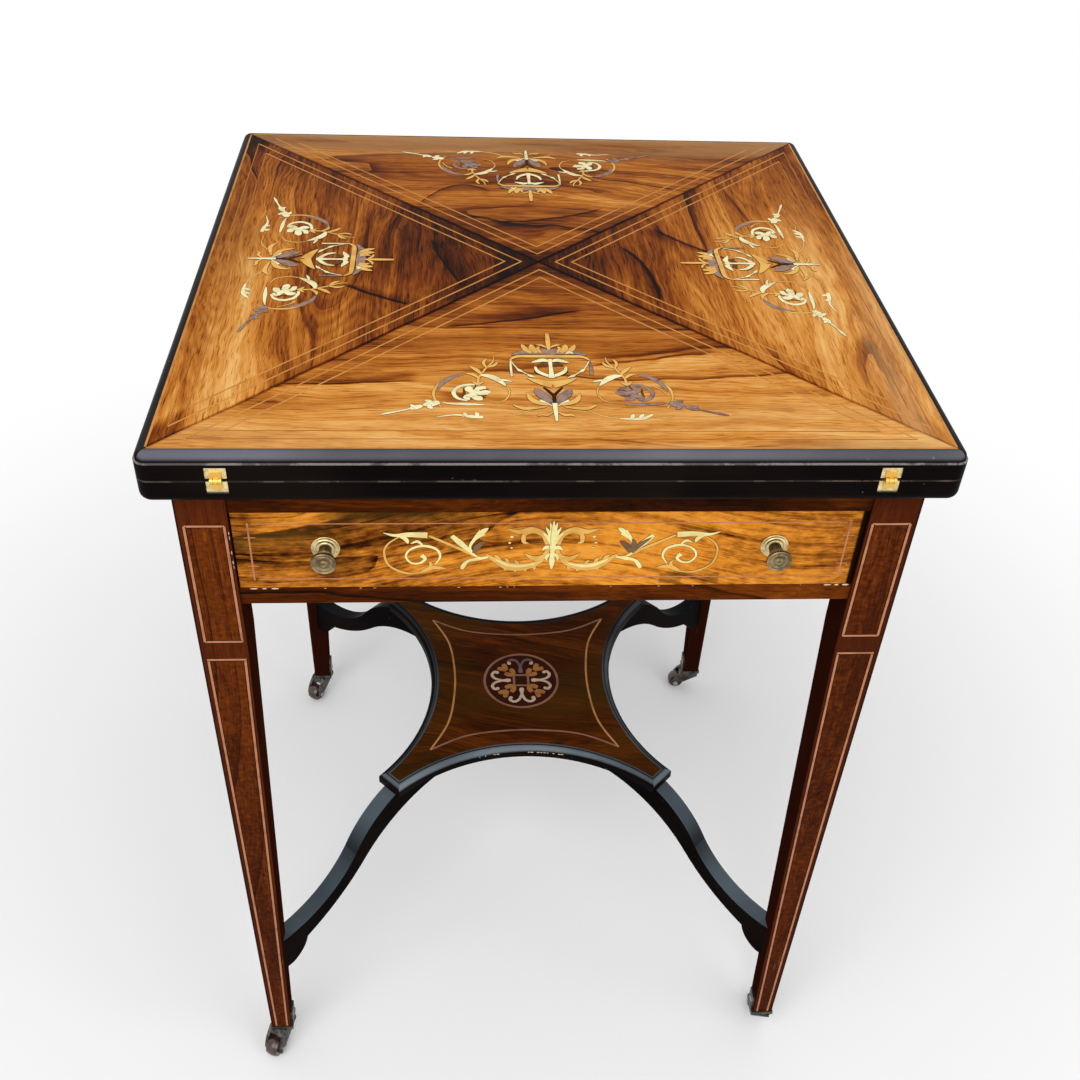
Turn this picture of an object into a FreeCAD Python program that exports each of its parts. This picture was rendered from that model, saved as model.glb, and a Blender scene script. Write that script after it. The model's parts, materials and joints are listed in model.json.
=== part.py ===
import FreeCAD, Part
import math
import os
from types import SimpleNamespace

import Sketcher

# Envelope card table: a square top of four triangular flaps, hinged to a bed that swivels on a
# frieze with one drawer. Four tapered legs stand on castors, and an undershelf lies on two crossed
# serpentine stretchers. Millimetres, +Z up, front towards -Y, origin on the floor under the middle.

doc = FreeCAD.newDocument("EnvelopeCardTable")
sheet = doc.addObject("Spreadsheet::Sheet", "Sizes")

SIZES = {
    # The top: flaps, the bed that they fold onto, and the gap that the bed turns in
    "top_width": 550.0,
    "table_height": 758.0,
    "flap_thickness": 20.0,
    "bed_thickness": 18.5,
    "seam_gap": 0.2,
    "mitre_gap": 0.6,
    "flap_tip_width": 2.0,
    "top_corner_radius": 9.0,
    "moulding_width": 8.0,
    "moulding_rise": 7.0,
    "moulding_ledge": 1.2,
    "moulding_round": 6.0,
    "bed_edge_round": 6.5,
    "turning_gap": 2.0,
    "slide_clearance": 0.2,
    # Baize let into the bed and into the underside of each flap
    "baize_thickness": 1.05,
    "baize_sink": 0.15,
    "bed_border": 12.0,
    "flap_border": 30.0,
    # Edge hinges, two to a flap
    "hinge_inset": 52.5,
    "hinge_leaf_width": 14.0,
    "hinge_leaf_height": 8.8,
    "hinge_leaf_thickness": 1.6,
    "hinge_leaf_sink": 1.0,
    "hinge_leaf_drop": 1.3,
    "hinge_boss_width": 7.6,
    "hinge_boss_margin": 3.2,
    "hinge_barrel_length": 7.6,
    "hinge_barrel_radius": 2.3,
    "hinge_knuckle_length": 3.0,
    "hinge_pin_radius": 1.0,
    "hinge_running_fit": 0.05,
    "hinge_clearance": 0.2,
    "hinge_notch_clearance": 0.3,
    # Swivel: plate with stud and stop peg under the bed, washer and nut under the pivot board
    "swivel_plate_radius": 42.0,
    "swivel_stud_radius": 6.0,
    "swivel_running_fit": 0.05,
    "swivel_washer_radius": 11.5,
    "swivel_washer_thickness": 1.5,
    "swivel_nut_width": 19.0,
    "swivel_nut_thickness": 6.0,
    "swivel_nut_sink": 0.8,
    "nut_well_radius": 13.5,
    "stop_peg_radius": 3.0,
    "stop_peg_reach": 28.0,
    "stop_peg_length": 9.0,
    "stop_clearance": 0.4,
    "swivel_travel": 45.0,
    # Frieze and drawer opening
    "overhang": 17.0,
    "rail_setback": 2.4,
    "rail_thickness": 18.0,
    "drawer_rail_depth": 40.0,
    "top_rail_height": 20.5,
    "bottom_rail_height": 15.0,
    "runner_lip": 4.0,
    "runner_guide_height": 20.0,
    "pivot_board_width": 130.0,
    "pivot_board_thickness": 18.0,
    "pad_length": 60.0,
    "pad_width": 12.0,
    # Drawer
    "drawer_gap": 0.3,
    "drawer_end_gap": 1.2,
    "drawer_front_height": 67.5,
    "drawer_front_thickness": 18.0,
    "drawer_back_gap": 66.8,
    "drawer_side_thickness": 9.0,
    "drawer_side_height": 58.0,
    "drawer_back_drop": 6.0,
    "drawer_bottom_thickness": 5.0,
    "drawer_bottom_rise": 6.0,
    "drawer_groove": 4.5,
    "drawer_groove_fit": 0.1,
    # Knobs and roses
    "knob_inset": 62.8,
    "knob_rise": 3.0,
    "knob_radius": 9.1,
    "knob_neck_radius": 4.6,
    "knob_projection": 19.9,
    "knob_stem_radius": 3.0,
    "knob_stem_length": 14.0,
    "rose_radius": 10.4,
    "rose_thickness": 2.4,
    "rose_rim": 3.2,
    "knob_fit": 0.1,
    # Legs
    "leg_width": 35.0,
    "foot_width": 19.0,
    "knee_drop": 45.9,
    # Stretchers
    "stretcher_thickness": 16.0,
    "stretcher_depth": 21.0,
    "stretcher_end_height": 170.0,
    "stretcher_end_depth": 45.0,
    "stretcher_shoulder": 6.0,
    "stretcher_ear_reach": 19.3,
    "stretcher_ear_length": 20.0,
    "stretcher_ear_height": 22.5,
    # Undershelf
    "shelf_height": 268.0,
    "shelf_thickness": 12.0,
    "shelf_tip_reach": 192.0,
    "shelf_tip_width": 29.0,
    "shelf_waist": 192.0,
    "shelf_moulding_width": 8.0,
    "shelf_moulding_round": 5.0,
    "shelf_fillet_width": 1.8,
    "shelf_quirk_width": 1.0,
    "shelf_quirk_depth": 1.2,
    # Castors
    "castor_height": 36.0,
    "castor_plate_margin": 1.2,
    "castor_plate_thickness": 4.5,
    "castor_lug_height": 21.0,
    "castor_lug_width": 13.0,
    "castor_lug_thickness": 2.4,
    "castor_gap": 0.3,
    "castor_trail": 17.5,
    "castor_stem_radius": 3.5,
    "castor_stem_rise": 8.0,
    "castor_running_fit": 0.05,
    "castor_hole_radius": 5.0,
    "castor_hole_depth": 10.0,
    "horn_heel": 10.0,
    "horn_toe": 9.5,
    "horn_bridge": 4.5,
    "horn_cheek": 3.0,
    "horn_eye_radius": 5.5,
    "horn_front_round": 32.0,
    "wheel_radius": 10.5,
    "wheel_width": 12.0,
    "wheel_crown": 1.2,
    "wheel_side_gap": 0.4,
    "axle_radius": 2.2,
    "axle_head": 1.0,
    # Wood screws
    "shelf_screw_reach": 110.0,
    "shelf_screw_length": 28.0,
    "plate_screw_length": 14.0,
    "plate_screw_reach": 33.0,
    "lug_screw_length": 11.0,
    "screw_radius": 2.0,
    "screw_head_radius": 3.6,
    "screw_head_depth": 2.0,
    # How far cutting shapes reach past what they cut
    "overrun": 5.0,
}

for row, (name, number) in enumerate(SIZES.items(), start=1):
    sheet.set(f"A{row}", name)
    sheet.set(f"B{row}", str(number))
    sheet.setAlias(f"B{row}", name)
doc.recompute()


class Size:
    """A length of the table: its number, and the expression on the sheet that gives it."""

    def __init__(self, number, text):
        self.number = number
        self.text = text

    def __add__(self, other):
        other = size_of(other)
        return Size(self.number + other.number, f"({self.text} + {other.text})")

    def __sub__(self, other):
        other = size_of(other)
        return Size(self.number - other.number, f"({self.text} - {other.text})")

    def __mul__(self, other):
        other = size_of(other)
        return Size(self.number * other.number, f"({self.text} * {other.text})")

    def __truediv__(self, other):
        other = size_of(other)
        return Size(self.number / other.number, f"({self.text} / {other.text})")

    def __neg__(self):
        return Size(-self.number, f"(0 - {self.text})")

    def root(self):
        return Size(math.sqrt(self.number), f"sqrt({self.text})")


def size_of(value):
    if isinstance(value, Size):
        return value
    return Size(float(value), f"({float(value)!r})")


s = SimpleNamespace(**{name: Size(sheet.get(name), f"Sizes.{name}") for name in SIZES})
ZERO = size_of(0)
ROOT_TWO = size_of(2).root()

# Levels and faces that several pieces share
half_top = s.top_width / 2
edge = half_top - s.seam_gap / 2
seam = s.table_height - s.flap_thickness
flap_low = seam + s.seam_gap / 2
bed_high = seam - s.seam_gap / 2
bed_low = seam - s.bed_thickness
frieze_top = bed_low - s.turning_gap
drawer_high = frieze_top - s.top_rail_height - s.drawer_gap
drawer_low = drawer_high - s.drawer_front_height
opening_low = drawer_low - s.drawer_gap
frieze_low = opening_low - s.bottom_rail_height
frame_face = half_top - s.overhang
leg_inner = frame_face - s.leg_width
foot_middle = frame_face - s.foot_width / 2
knee = frieze_low - s.knee_drop
leg_taper = (s.leg_width - s.foot_width) / (knee - s.castor_height)
rail_face = frame_face - s.rail_setback
rail_inner = rail_face - s.rail_thickness
drawer_half = leg_inner - s.drawer_end_gap
shelf_low = s.shelf_height - s.shelf_thickness
baize_recess = s.baize_thickness + s.baize_sink

nodes = []


def node(item, label):
    """Name a finished piece and keep it for the list of pieces."""
    item.Label = label
    nodes.append(item)
    return item


def bind(item, prop, size):
    item.setExpression(prop, size_of(size).text)


def move(item, x=ZERO, y=ZERO, z=ZERO):
    for axis, size in zip("xyz", (x, y, z)):
        bind(item, f"Placement.Base.{axis}", size)
    return item


def turn(item, *turns):
    """Turn a piece about the origin; turns are (axis, degrees), the last one made first."""
    rotation = FreeCAD.Rotation()
    for axis, degrees in turns:
        rotation = rotation.multiply(FreeCAD.Rotation(axis, degrees))
    item.Placement = FreeCAD.Placement(FreeCAD.Vector(), rotation)
    return item


X = FreeCAD.Vector(1, 0, 0)
Y = FreeCAD.Vector(0, 1, 0)
Z = FreeCAD.Vector(0, 0, 1)


def board(name, low, high):
    """A plain rectangular piece between two opposite corners."""
    item = doc.addObject("Part::Box", name)
    for prop, near, far in zip(("Length", "Width", "Height"), low, high):
        bind(item, prop, far - near)
    return move(item, *low)


def rod(name, radius, length, base, *turns):
    """A round piece that starts at base and runs along +Z, unless it is turned."""
    item = doc.addObject("Part::Cylinder", name)
    bind(item, "Radius", radius)
    bind(item, "Height", length)
    turn(item, *turns)
    return move(item, *base)


def join(name, *pieces):
    item = doc.addObject("Part::MultiFuse", name)
    item.Shapes = list(pieces)
    return item


def cut(name, base, *tools):
    item = doc.addObject("Part::Cut", name)
    item.Base = base
    item.Tool = tools[0] if len(tools) == 1 else join(f"{name}_tools", *tools)
    return item


def common(name, base, tool):
    item = doc.addObject("Part::Common", name)
    item.Base = base
    item.Tool = tool
    return item


def group(name, pieces):
    """Like pieces that share one file."""
    item = doc.addObject("Part::Compound", name)
    item.Links = list(pieces)
    return item


def new_body(name):
    return doc.addObject("PartDesign::Body", name)


def sketch_on(body, plane, lift=None):
    """A sketch on one of the body's own planes, lifted along that plane's normal."""
    sketch = body.newObject("Sketcher::SketchObject", f"{body.Name}_outline")
    support = next(item for item in body.Origin.OriginFeatures if item.Role == plane)
    sketch.AttachmentSupport = [(support, "")]
    sketch.MapMode = "FlatFace"
    if lift is not None:
        bind(sketch, "AttachmentOffset.Base.z", lift)
    return sketch


def constrain(sketch, size, kind, *where):
    index = sketch.addConstraint(Sketcher.Constraint(kind, *where, size.number))
    bind(sketch, f"Constraints[{index}]", size)


def pin_point(sketch, edge_index, vertex, x, y):
    """Hold a point of the sketch at x, y from its origin."""
    origin = (-1, 1)
    for kind, size, axis in (("DistanceX", x, -2), ("DistanceY", y, -1)):
        if size is ZERO:
            sketch.addConstraint(Sketcher.Constraint("PointOnObject", edge_index, vertex, axis))
        else:
            constrain(sketch, size, kind, *origin, edge_index, vertex)


def arc_middle(first, last, bend):
    """The middle of an arc of radius bend, to the right of the way from first to last."""
    chord = last - first
    radius = abs(bend)
    rise = radius - math.sqrt(max(radius ** 2 - chord.Length ** 2 / 4, 0))
    side = FreeCAD.Vector(chord.y, -chord.x, 0).normalize()
    return (first + last) / 2 + side * math.copysign(rise, bend)


def outline(sketch, corners, bends=None):
    """A closed outline, drawn anticlockwise. A bend is the radius of the arc that leaves the corner
    of that number; a negative one hollows the outline."""
    bends = bends or {}
    points = [FreeCAD.Vector(x.number, y.number, 0) for x, y in corners]
    edges = []
    for i, first in enumerate(points):
        last = points[(i + 1) % len(points)]
        if i in bends:
            curve = Part.Arc(first, arc_middle(first, last, bends[i].number), last)
        else:
            curve = Part.LineSegment(first, last)
        index = sketch.addGeometry(curve, False)
        forwards = (sketch.getPoint(index, 1) - first).Length < (sketch.getPoint(index, 2) - first).Length
        edges.append((index, 1, 2) if forwards else (index, 2, 1))
    for i, (index, start, end) in enumerate(edges):
        following, following_start, following_end = edges[(i + 1) % len(edges)]
        sketch.addConstraint(Sketcher.Constraint("Coincident", index, end, following, following_start))
        pin_point(sketch, index, start, *corners[i])
        if i in bends:
            radius = bends[i] if bends[i].number > 0 else -bends[i]
            constrain(sketch, radius, "Radius", index)


def ring_outline(sketch, radius, x=ZERO, y=ZERO):
    index = sketch.addGeometry(Part.Circle(FreeCAD.Vector(x.number, y.number, 0), Z, radius.number), False)
    constrain(sketch, radius, "Radius", index)
    # A circle's centre is its third point
    pin_point(sketch, index, 3, x, y)


def pad(body, sketch, length, both_ways=False, back=False):
    item = body.newObject("PartDesign::Pad", f"{sketch.Name}_pad")
    item.Profile = sketch
    item.SideType = "Symmetric" if both_ways else "One side"
    item.Reversed = back
    bind(item, "Length", length)
    return item


def pocket(body, sketch, depth, both_ways=False, back=False):
    item = body.newObject("PartDesign::Pocket", f"{sketch.Name}_pocket")
    item.Profile = sketch
    item.SideType = "Symmetric" if both_ways else "One side"
    item.Reversed = back
    bind(item, "Length", depth)
    return item


def plate(name, corners, low, thickness, bends=None):
    """A flat piece of any outline, seen from above, from the level low upwards."""
    body = new_body(name)
    sketch = sketch_on(body, "XY_Plane", low)
    outline(sketch, corners, bends)
    pad(body, sketch, thickness)
    return body


def turned(name, corners, bends=None):
    """A piece turned on a lathe: its half outline, radius then height, goes round the Z axis."""
    body = new_body(name)
    sketch = sketch_on(body, "XZ_Plane")
    outline(sketch, corners, bends)
    item = body.newObject("PartDesign::Revolution", f"{name}_turning")
    item.Profile = sketch
    item.ReferenceAxis = (sketch, ["V_Axis"])
    item.Angle = 360
    return body


def round_over(body, level, radius):
    """Round the edges of a body that lie at one level."""
    doc.recompute()
    solid = body.Tip
    names = [
        f"Edge{i}" for i, line in enumerate(solid.Shape.Edges, start=1)
        if all(math.isclose(corner.Z, level.number) for corner in line.Vertexes)
    ]
    item = body.newObject("PartDesign::Fillet", f"{body.Name}_rounding")
    item.Base = (solid, names)
    bind(item, "Radius", radius)


def wood_screw(name, length):
    """A countersunk screw that points along +Z, with its head flush at the origin."""
    corners = [
        (ZERO, ZERO),
        (s.screw_head_radius, ZERO),
        (s.screw_radius, s.screw_head_depth),
        (s.screw_radius, length),
        (ZERO, length),
    ]
    return turned(name, corners)


def rectangle(left, front, right, back):
    return [(left, front), (right, front), (right, back), (left, back)]


def rounded_square(half, radius):
    """Corners and bends of a square with rounded corners about the origin."""
    flat = half - radius
    corners = [
        (-flat, -half), (flat, -half), (half, -flat), (half, flat),
        (flat, half), (-flat, half), (-half, flat), (-half, -flat),
    ]
    return corners, {1: radius, 3: radius, 5: radius, 7: radius}


CORNERS = {
    "front_left": (-1, -1),
    "front_right": (1, -1),
    "back_left": (-1, 1),
    "back_right": (1, 1),
}
SIDES = {"front": 0, "right": 90, "back": 180, "left": 270}

# Legs: square where the rails meet them, then planed to a taper on the two inner faces, with a hole
# up the foot for the castor's stem
legs = {}
for corner, (side_x, side_y) in CORNERS.items():
    leg = new_body(f"leg_{corner}")
    square = sketch_on(leg, "XY_Plane", s.castor_height)
    outer = (frame_face * side_x, frame_face * side_y)
    outline(square, rectangle(*outer, leg_inner * side_x, leg_inner * side_y))
    pad(leg, square, frieze_top - s.castor_height)
    for plane, sign in (("XZ_Plane", side_x), ("YZ_Plane", side_y)):
        shaving = sketch_on(leg, plane)
        outline(shaving, [
            (leg_inner * sign, s.castor_height),
            ((frame_face - s.foot_width) * sign, s.castor_height),
            (leg_inner * sign, knee),
        ])
        pocket(leg, shaving, s.top_width, both_ways=True)
    stem_hole = sketch_on(leg, "XY_Plane", s.castor_height)
    ring_outline(stem_hole, s.castor_hole_radius, foot_middle * side_x, foot_middle * side_y)
    pocket(leg, stem_hole, s.castor_hole_depth, back=True)
    legs[corner] = node(leg, f"leg_{corner}")

# Frieze rails, butted between the legs: two sides and a back, and a rail above and below the drawer
for side, sign in (("left", -1), ("right", 1)):
    near, far = sorted((rail_inner * sign, rail_face * sign), key=lambda size: size.number)
    rail = board(f"side_rail_{side}", (near, -leg_inner, frieze_low), (far, leg_inner, frieze_top))
    node(rail, f"side_rail_{side}")
back_rail = board("back_rail", (-leg_inner, rail_inner, frieze_low), (leg_inner, rail_face, frieze_top))
node(back_rail, "back_rail")
drawer_rail_back = s.drawer_rail_depth - rail_face
for label, low, high in (
    ("drawer_top_rail", drawer_high + s.drawer_gap, frieze_top),
    ("drawer_bottom_rail", frieze_low, opening_low),
):
    node(board(label, (-leg_inner, -rail_face, low), (leg_inner, drawer_rail_back, high)), label)

# Drawer runners: a bearer under each drawer side, with a guide standing on it against the side rail
runner_inner = drawer_half - s.drawer_side_thickness - s.runner_lip
runners = []
for side, sign in (("left", -1), ("right", 1)):
    strips = []
    for part_name, inner, low, high in (
        ("bearer", runner_inner, frieze_low, opening_low),
        ("guide", leg_inner, opening_low, opening_low + s.runner_guide_height),
    ):
        near, far = sorted((inner * sign, rail_inner * sign), key=lambda size: size.number)
        strip = board(f"runner_{part_name}_{side}", (near, drawer_rail_back, low), (far, leg_inner, high))
        strips.append(strip)
    runners.append(join(f"runner_{side}", *strips))
node(group("drawer_runners", runners), "drawer_runners")

# Pivot board: across the frieze over the drawer, bored for the stud, with a well below for its nut
# and a curved slot above for the stop peg
pivot_low = frieze_top - s.pivot_board_thickness
nut_well_depth = s.slide_clearance + s.swivel_washer_thickness + s.swivel_nut_thickness + s.swivel_nut_sink
pivot_half = s.pivot_board_width / 2
pivot_blank = board("pivot_blank", (-rail_inner, -pivot_half, pivot_low),
                    (rail_inner, pivot_half, frieze_top))
stud_bore = rod(
    "stud_bore", s.swivel_stud_radius + s.swivel_running_fit,
    s.pivot_board_thickness + s.overrun * 2, (ZERO, ZERO, pivot_low - s.overrun),
)
nut_well = rod("nut_well", s.nut_well_radius, nut_well_depth + s.overrun, (ZERO, ZERO, pivot_low - s.overrun))
slot_depth = s.stop_peg_length + s.stop_clearance
slot_half = s.stop_peg_radius + s.stop_clearance
slot_outer = rod("slot_outer", s.stop_peg_reach + slot_half, slot_depth + s.overrun,
                 (ZERO, ZERO, frieze_top - slot_depth))
slot_inner = rod("slot_inner", s.stop_peg_reach - slot_half, slot_depth + s.overrun,
                 (ZERO, ZERO, frieze_top - slot_depth))
# The slot runs as far past the peg at each end as the peg is wide, seen from the stud
slot_margin = Size(
    math.degrees(math.asin(slot_half.number / s.stop_peg_reach.number)),
    f"(asin({slot_half.text} / {s.stop_peg_reach.text}) / 1deg)",
)
bind(slot_outer, "Angle", s.swivel_travel + slot_margin * 2)
turn(slot_outer, (Z, 0))
slot_outer.setExpression("Placement.Rotation.Angle", f"0 - {slot_margin.text}")
stop_slot = cut("stop_slot", slot_outer, slot_inner)
node(cut("pivot_board", pivot_blank, stud_bore, nut_well, stop_slot), "pivot_board")

# Slip pads: leather strips on the middle of each rail, on which the bed turns
pad_high = bed_low - s.slide_clearance
pad_offset = rail_face - s.rail_thickness / 2
pads = []
for side, angle in SIDES.items():
    half_length = s.pad_length / 2
    half_width = s.pad_width / 2
    strip = board(f"pad_{side}", (-half_length, -half_width, frieze_top), (half_length, half_width, pad_high))
    holder = turn(group(f"slip_pad_{side}", [strip]), (Z, angle))
    way = FreeCAD.Rotation(Z, angle).multVec(FreeCAD.Vector(0, -1, 0))
    pads.append(move(holder, pad_offset * round(way.x), pad_offset * round(way.y)))
node(group("slip_pads", pads), "slip_pads")

# Stretchers: two serpentine rails on the diagonals, halved over each other in the middle and coped
# to the inner corners of the legs, with a small ear under each end. Their outline is measured along
# the diagonal from the middle; where each curve turns is a share of its own run and drop.
END_HOUSING_SHARE = 0.75
TOP_TURN_SHARES = (0.41, 0.512)
UNDER_FLAT_SHARE = 0.753
UNDER_TURN_SHARES = (0.549, 0.457)
TOP_HUMP_SHARE = 1.41
TOP_HOLLOW_SHARE = 1.005
UNDER_HUMP_SHARE = 1.33
UNDER_HOLLOW_SHARE = 2.19
EAR_ROUND_SHARE = 1.0
stretcher_low = shelf_low - s.stretcher_depth
stretcher_end_low = s.stretcher_end_height - s.stretcher_end_depth
leg_width_there = s.foot_width + leg_taper * (s.stretcher_end_height - s.castor_height)
leg_corner = (frame_face - leg_width_there) * ROOT_TWO


def between(first, last, shares):
    """A point part of the way from one point to another, by a share of the run and one of the drop."""
    return tuple(a + (b - a) * share for a, b, share in zip(first, last, shares))


def bend_of(first, last, share):
    """The radius of an arc, as a share of its chord."""
    run = last[0] - first[0]
    drop = last[1] - first[1]
    return (run * run + drop * drop).root() * share


def stretcher_profile():
    """Half the outline runs up the right side; the other half is its mirror image."""
    end = leg_corner + s.stretcher_thickness * END_HOUSING_SHARE
    shoulder = (s.shelf_tip_reach - s.stretcher_shoulder, shelf_low)
    top_end = (end, s.stretcher_end_height)
    top_turn = between(shoulder, (leg_corner, s.stretcher_end_height), TOP_TURN_SHARES)
    cusp = (leg_corner - s.stretcher_ear_reach, stretcher_end_low + s.stretcher_ear_height)
    ear = (cusp[0] + s.stretcher_ear_length, stretcher_end_low)
    flat_end = (shoulder[0] * UNDER_FLAT_SHARE, stretcher_low)
    under_turn = between(flat_end, cusp, UNDER_TURN_SHARES)
    right = [flat_end, under_turn, cusp, ear, (end, stretcher_end_low), top_end, top_turn, shoulder]
    bends = {
        0: bend_of(flat_end, under_turn, -UNDER_HUMP_SHARE),
        1: bend_of(under_turn, cusp, UNDER_HOLLOW_SHARE),
        2: bend_of(cusp, ear, EAR_ROUND_SHARE),
        5: bend_of(top_end, top_turn, -TOP_HOLLOW_SHARE),
        6: bend_of(top_turn, shoulder, TOP_HUMP_SHARE),
    }
    last = 2 * len(right) - 2
    bends.update({last - i: bend for i, bend in list(bends.items())})
    left = [(-x, z) for x, z in reversed(right)]
    return right + left, bends


stretcher_half = s.stretcher_thickness / 2
halving = shelf_low - s.stretcher_depth / 2
for label, angle, low, high, ends in (
    ("stretcher_rising", 45, halving, shelf_low + s.overrun, ("back_right", "front_left")),
    ("stretcher_falling", -45, stretcher_low - s.overrun, halving, ("front_right", "back_left")),
):
    rail = new_body(f"{label}_rail")
    sketch = sketch_on(rail, "XZ_Plane")
    outline(sketch, *stretcher_profile())
    pad(rail, sketch, s.stretcher_thickness, both_ways=True)
    notch = board(f"{label}_notch", (-stretcher_half, -s.stretcher_thickness, low),
                  (stretcher_half, s.stretcher_thickness, high))
    halved = turn(cut(f"{label}_halved", rail, notch), (Z, angle))
    node(cut(label, halved, join(f"{label}_ends", *(legs[end] for end in ends))), label)

# Undershelf: a square board with four hollow sides and cut-off tips, and a moulding round its edge:
# a fillet beside the board, a quirk, and a bead. Each side is an arc about a centre beyond it, so a
# line drawn in from the edge is an arc about the same centre with that distance added.
tip_middle = s.shelf_tip_reach / ROOT_TWO
tip_step = s.shelf_tip_width / 2 / ROOT_TWO
tip_near = tip_middle - tip_step
tip_far = tip_middle + tip_step
waist = s.shelf_waist / 2
sagitta = tip_far - waist
hollow_radius = (tip_near * tip_near + sagitta * sagitta) / (sagitta * 2)
hollow_centre = waist + hollow_radius


def shelf_outline(inset):
    """The shelf's outline drawn in by inset: the corners, and the arcs by corner."""
    radius = hollow_radius + inset
    tip_sum = (s.shelf_tip_reach - inset) * ROOT_TWO
    # Where the arc meets the tip line x + y = tip_sum
    beyond = hollow_centre - tip_sum
    near = ((radius * radius * 2 - beyond * beyond).root() - beyond) / 2
    far = tip_sum - near
    corners = [
        (-near, -far), (near, -far), (far, -near), (far, near),
        (near, far), (-near, far), (-far, near), (-far, -near),
    ]
    return corners, {i: -radius for i in (0, 2, 4, 6)}


fillet_inset = s.shelf_moulding_width - s.shelf_fillet_width
board_corners, board_bends = shelf_outline(s.shelf_moulding_width)
rim_corners, rim_bends = shelf_outline(ZERO)
node(plate("undershelf", board_corners, shelf_low, s.shelf_thickness, board_bends), "undershelf")
rim = plate("undershelf_rim", rim_corners, shelf_low, s.shelf_thickness, rim_bends)
round_over(rim, s.shelf_height, s.shelf_moulding_round)
rim_hole = sketch_on(rim, "XY_Plane", s.shelf_height)
outline(rim_hole, board_corners, board_bends)
pocket(rim, rim_hole, s.shelf_thickness)
quirk = sketch_on(rim, "XY_Plane", s.shelf_height)
outline(quirk, *shelf_outline(fillet_inset - s.shelf_quirk_width))
outline(quirk, *shelf_outline(fillet_inset))
pocket(rim, quirk, s.shelf_quirk_depth)
node(rim, "undershelf_moulding")

frame_screws = []
for i, angle in enumerate((45, 135, 225, 315)):
    way = FreeCAD.Rotation(Z, angle).multVec(X)
    item = wood_screw(f"shelf_screw_{i}", s.shelf_screw_length)
    frame_screws.append(move(item, s.shelf_screw_reach * way.x, s.shelf_screw_reach * way.y, stretcher_low))

# Castors: a plate under each foot with a lug up the leg's inner side, a horn whose stem turns in the
# plate, and a wheel on an axle riveted through the horn's cheeks
plate_low = s.castor_height - s.castor_plate_thickness
horn_high = plate_low - s.castor_gap
slot_high = horn_high - s.horn_bridge
foot_half = s.foot_width / 2
plate_half = foot_half + s.castor_plate_margin
lug_face = foot_half + s.castor_lug_thickness
lug_lean = leg_taper * s.castor_lug_height
lug_high = s.castor_height + s.castor_lug_height
wheel_slot = s.wheel_width + s.wheel_side_gap * 2
horn_width = wheel_slot + s.horn_cheek * 2
axle_length = horn_width + s.axle_head * 2
# Which way each castor trails, in degrees about +Z from +X
CASTOR_TRAILS = {"front_left": 245, "front_right": 80, "back_left": 238, "back_right": 172}


def castor_plate(corner, side_x, side_y):
    """The lug stands on the side of the plate that faces the middle of the table along X."""
    body = new_body(f"castor_plate_{corner}")
    inwards = -side_x
    base = sketch_on(body, "XY_Plane", plate_low)
    outline(base, rectangle(plate_half * -inwards, -plate_half, lug_face * inwards, plate_half))
    pad(body, base, s.castor_plate_thickness)
    lug = sketch_on(body, "XZ_Plane")
    outline(lug, [
        (foot_half * inwards, s.castor_height),
        (lug_face * inwards, s.castor_height),
        ((lug_face + lug_lean) * inwards, lug_high),
        ((foot_half + lug_lean) * inwards, lug_high),
    ])
    pad(body, lug, s.castor_lug_width, both_ways=True)
    hole = sketch_on(body, "XY_Plane", s.castor_height)
    ring_outline(hole, s.castor_stem_radius + s.castor_running_fit)
    pocket(body, hole, s.castor_plate_thickness)
    return move(body, foot_middle * side_x, foot_middle * side_y)


def castor_horn(corner):
    """Local +X is the way the castor trails; the stem's axis is the Z axis."""
    body = new_body(f"castor_horn_{corner}")
    cheeks = sketch_on(body, "XZ_Plane")
    eye_back = s.castor_trail - s.horn_eye_radius
    eye_front = s.castor_trail + s.horn_eye_radius
    corners = [
        (-s.horn_heel, slot_high),
        (eye_back, s.wheel_radius),
        (s.castor_trail, s.wheel_radius - s.horn_eye_radius),
        (eye_front, s.wheel_radius),
        (s.horn_toe, horn_high),
        (-s.horn_heel, horn_high),
    ]
    outline(cheeks, corners, {1: s.horn_eye_radius, 2: s.horn_eye_radius, 3: s.horn_front_round})
    pad(body, cheeks, horn_width, both_ways=True)
    space = sketch_on(body, "XZ_Plane")
    outline(space, rectangle(-s.horn_heel - s.overrun, -s.overrun, eye_front + s.overrun, slot_high))
    pocket(body, space, wheel_slot, both_ways=True)
    axle_hole = sketch_on(body, "XZ_Plane")
    ring_outline(axle_hole, s.axle_radius, s.castor_trail, s.wheel_radius)
    pocket(body, axle_hole, horn_width, both_ways=True)
    stem = sketch_on(body, "XY_Plane", horn_high)
    ring_outline(stem, s.castor_stem_radius)
    pad(body, stem, s.castor_height + s.castor_stem_rise - horn_high)
    return body


def castor_wheel(corner):
    """A crowned wheel, turned about its own axis before it is laid over."""
    half = s.wheel_width / 2
    bore = s.axle_radius + s.castor_running_fit
    shoulder = s.wheel_radius - s.wheel_crown
    crown_radius = (half * half + s.wheel_crown * s.wheel_crown) / (s.wheel_crown * 2)
    corners = [(bore, -half), (shoulder, -half), (shoulder, half), (bore, half)]
    return turned(f"castor_wheel_{corner}", corners, {1: crown_radius})


def castor_axle(corner):
    """A plain pin with a flat head at each end, outside the horn's cheeks."""
    half = horn_width / 2
    head_radius = s.axle_radius + s.axle_head
    end = half + s.axle_head
    corners = [
        (ZERO, -end), (head_radius, -end), (head_radius, -half), (s.axle_radius, -half),
        (s.axle_radius, half), (head_radius, half), (head_radius, end), (ZERO, end),
    ]
    return turned(f"castor_axle_{corner}", corners)


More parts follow.
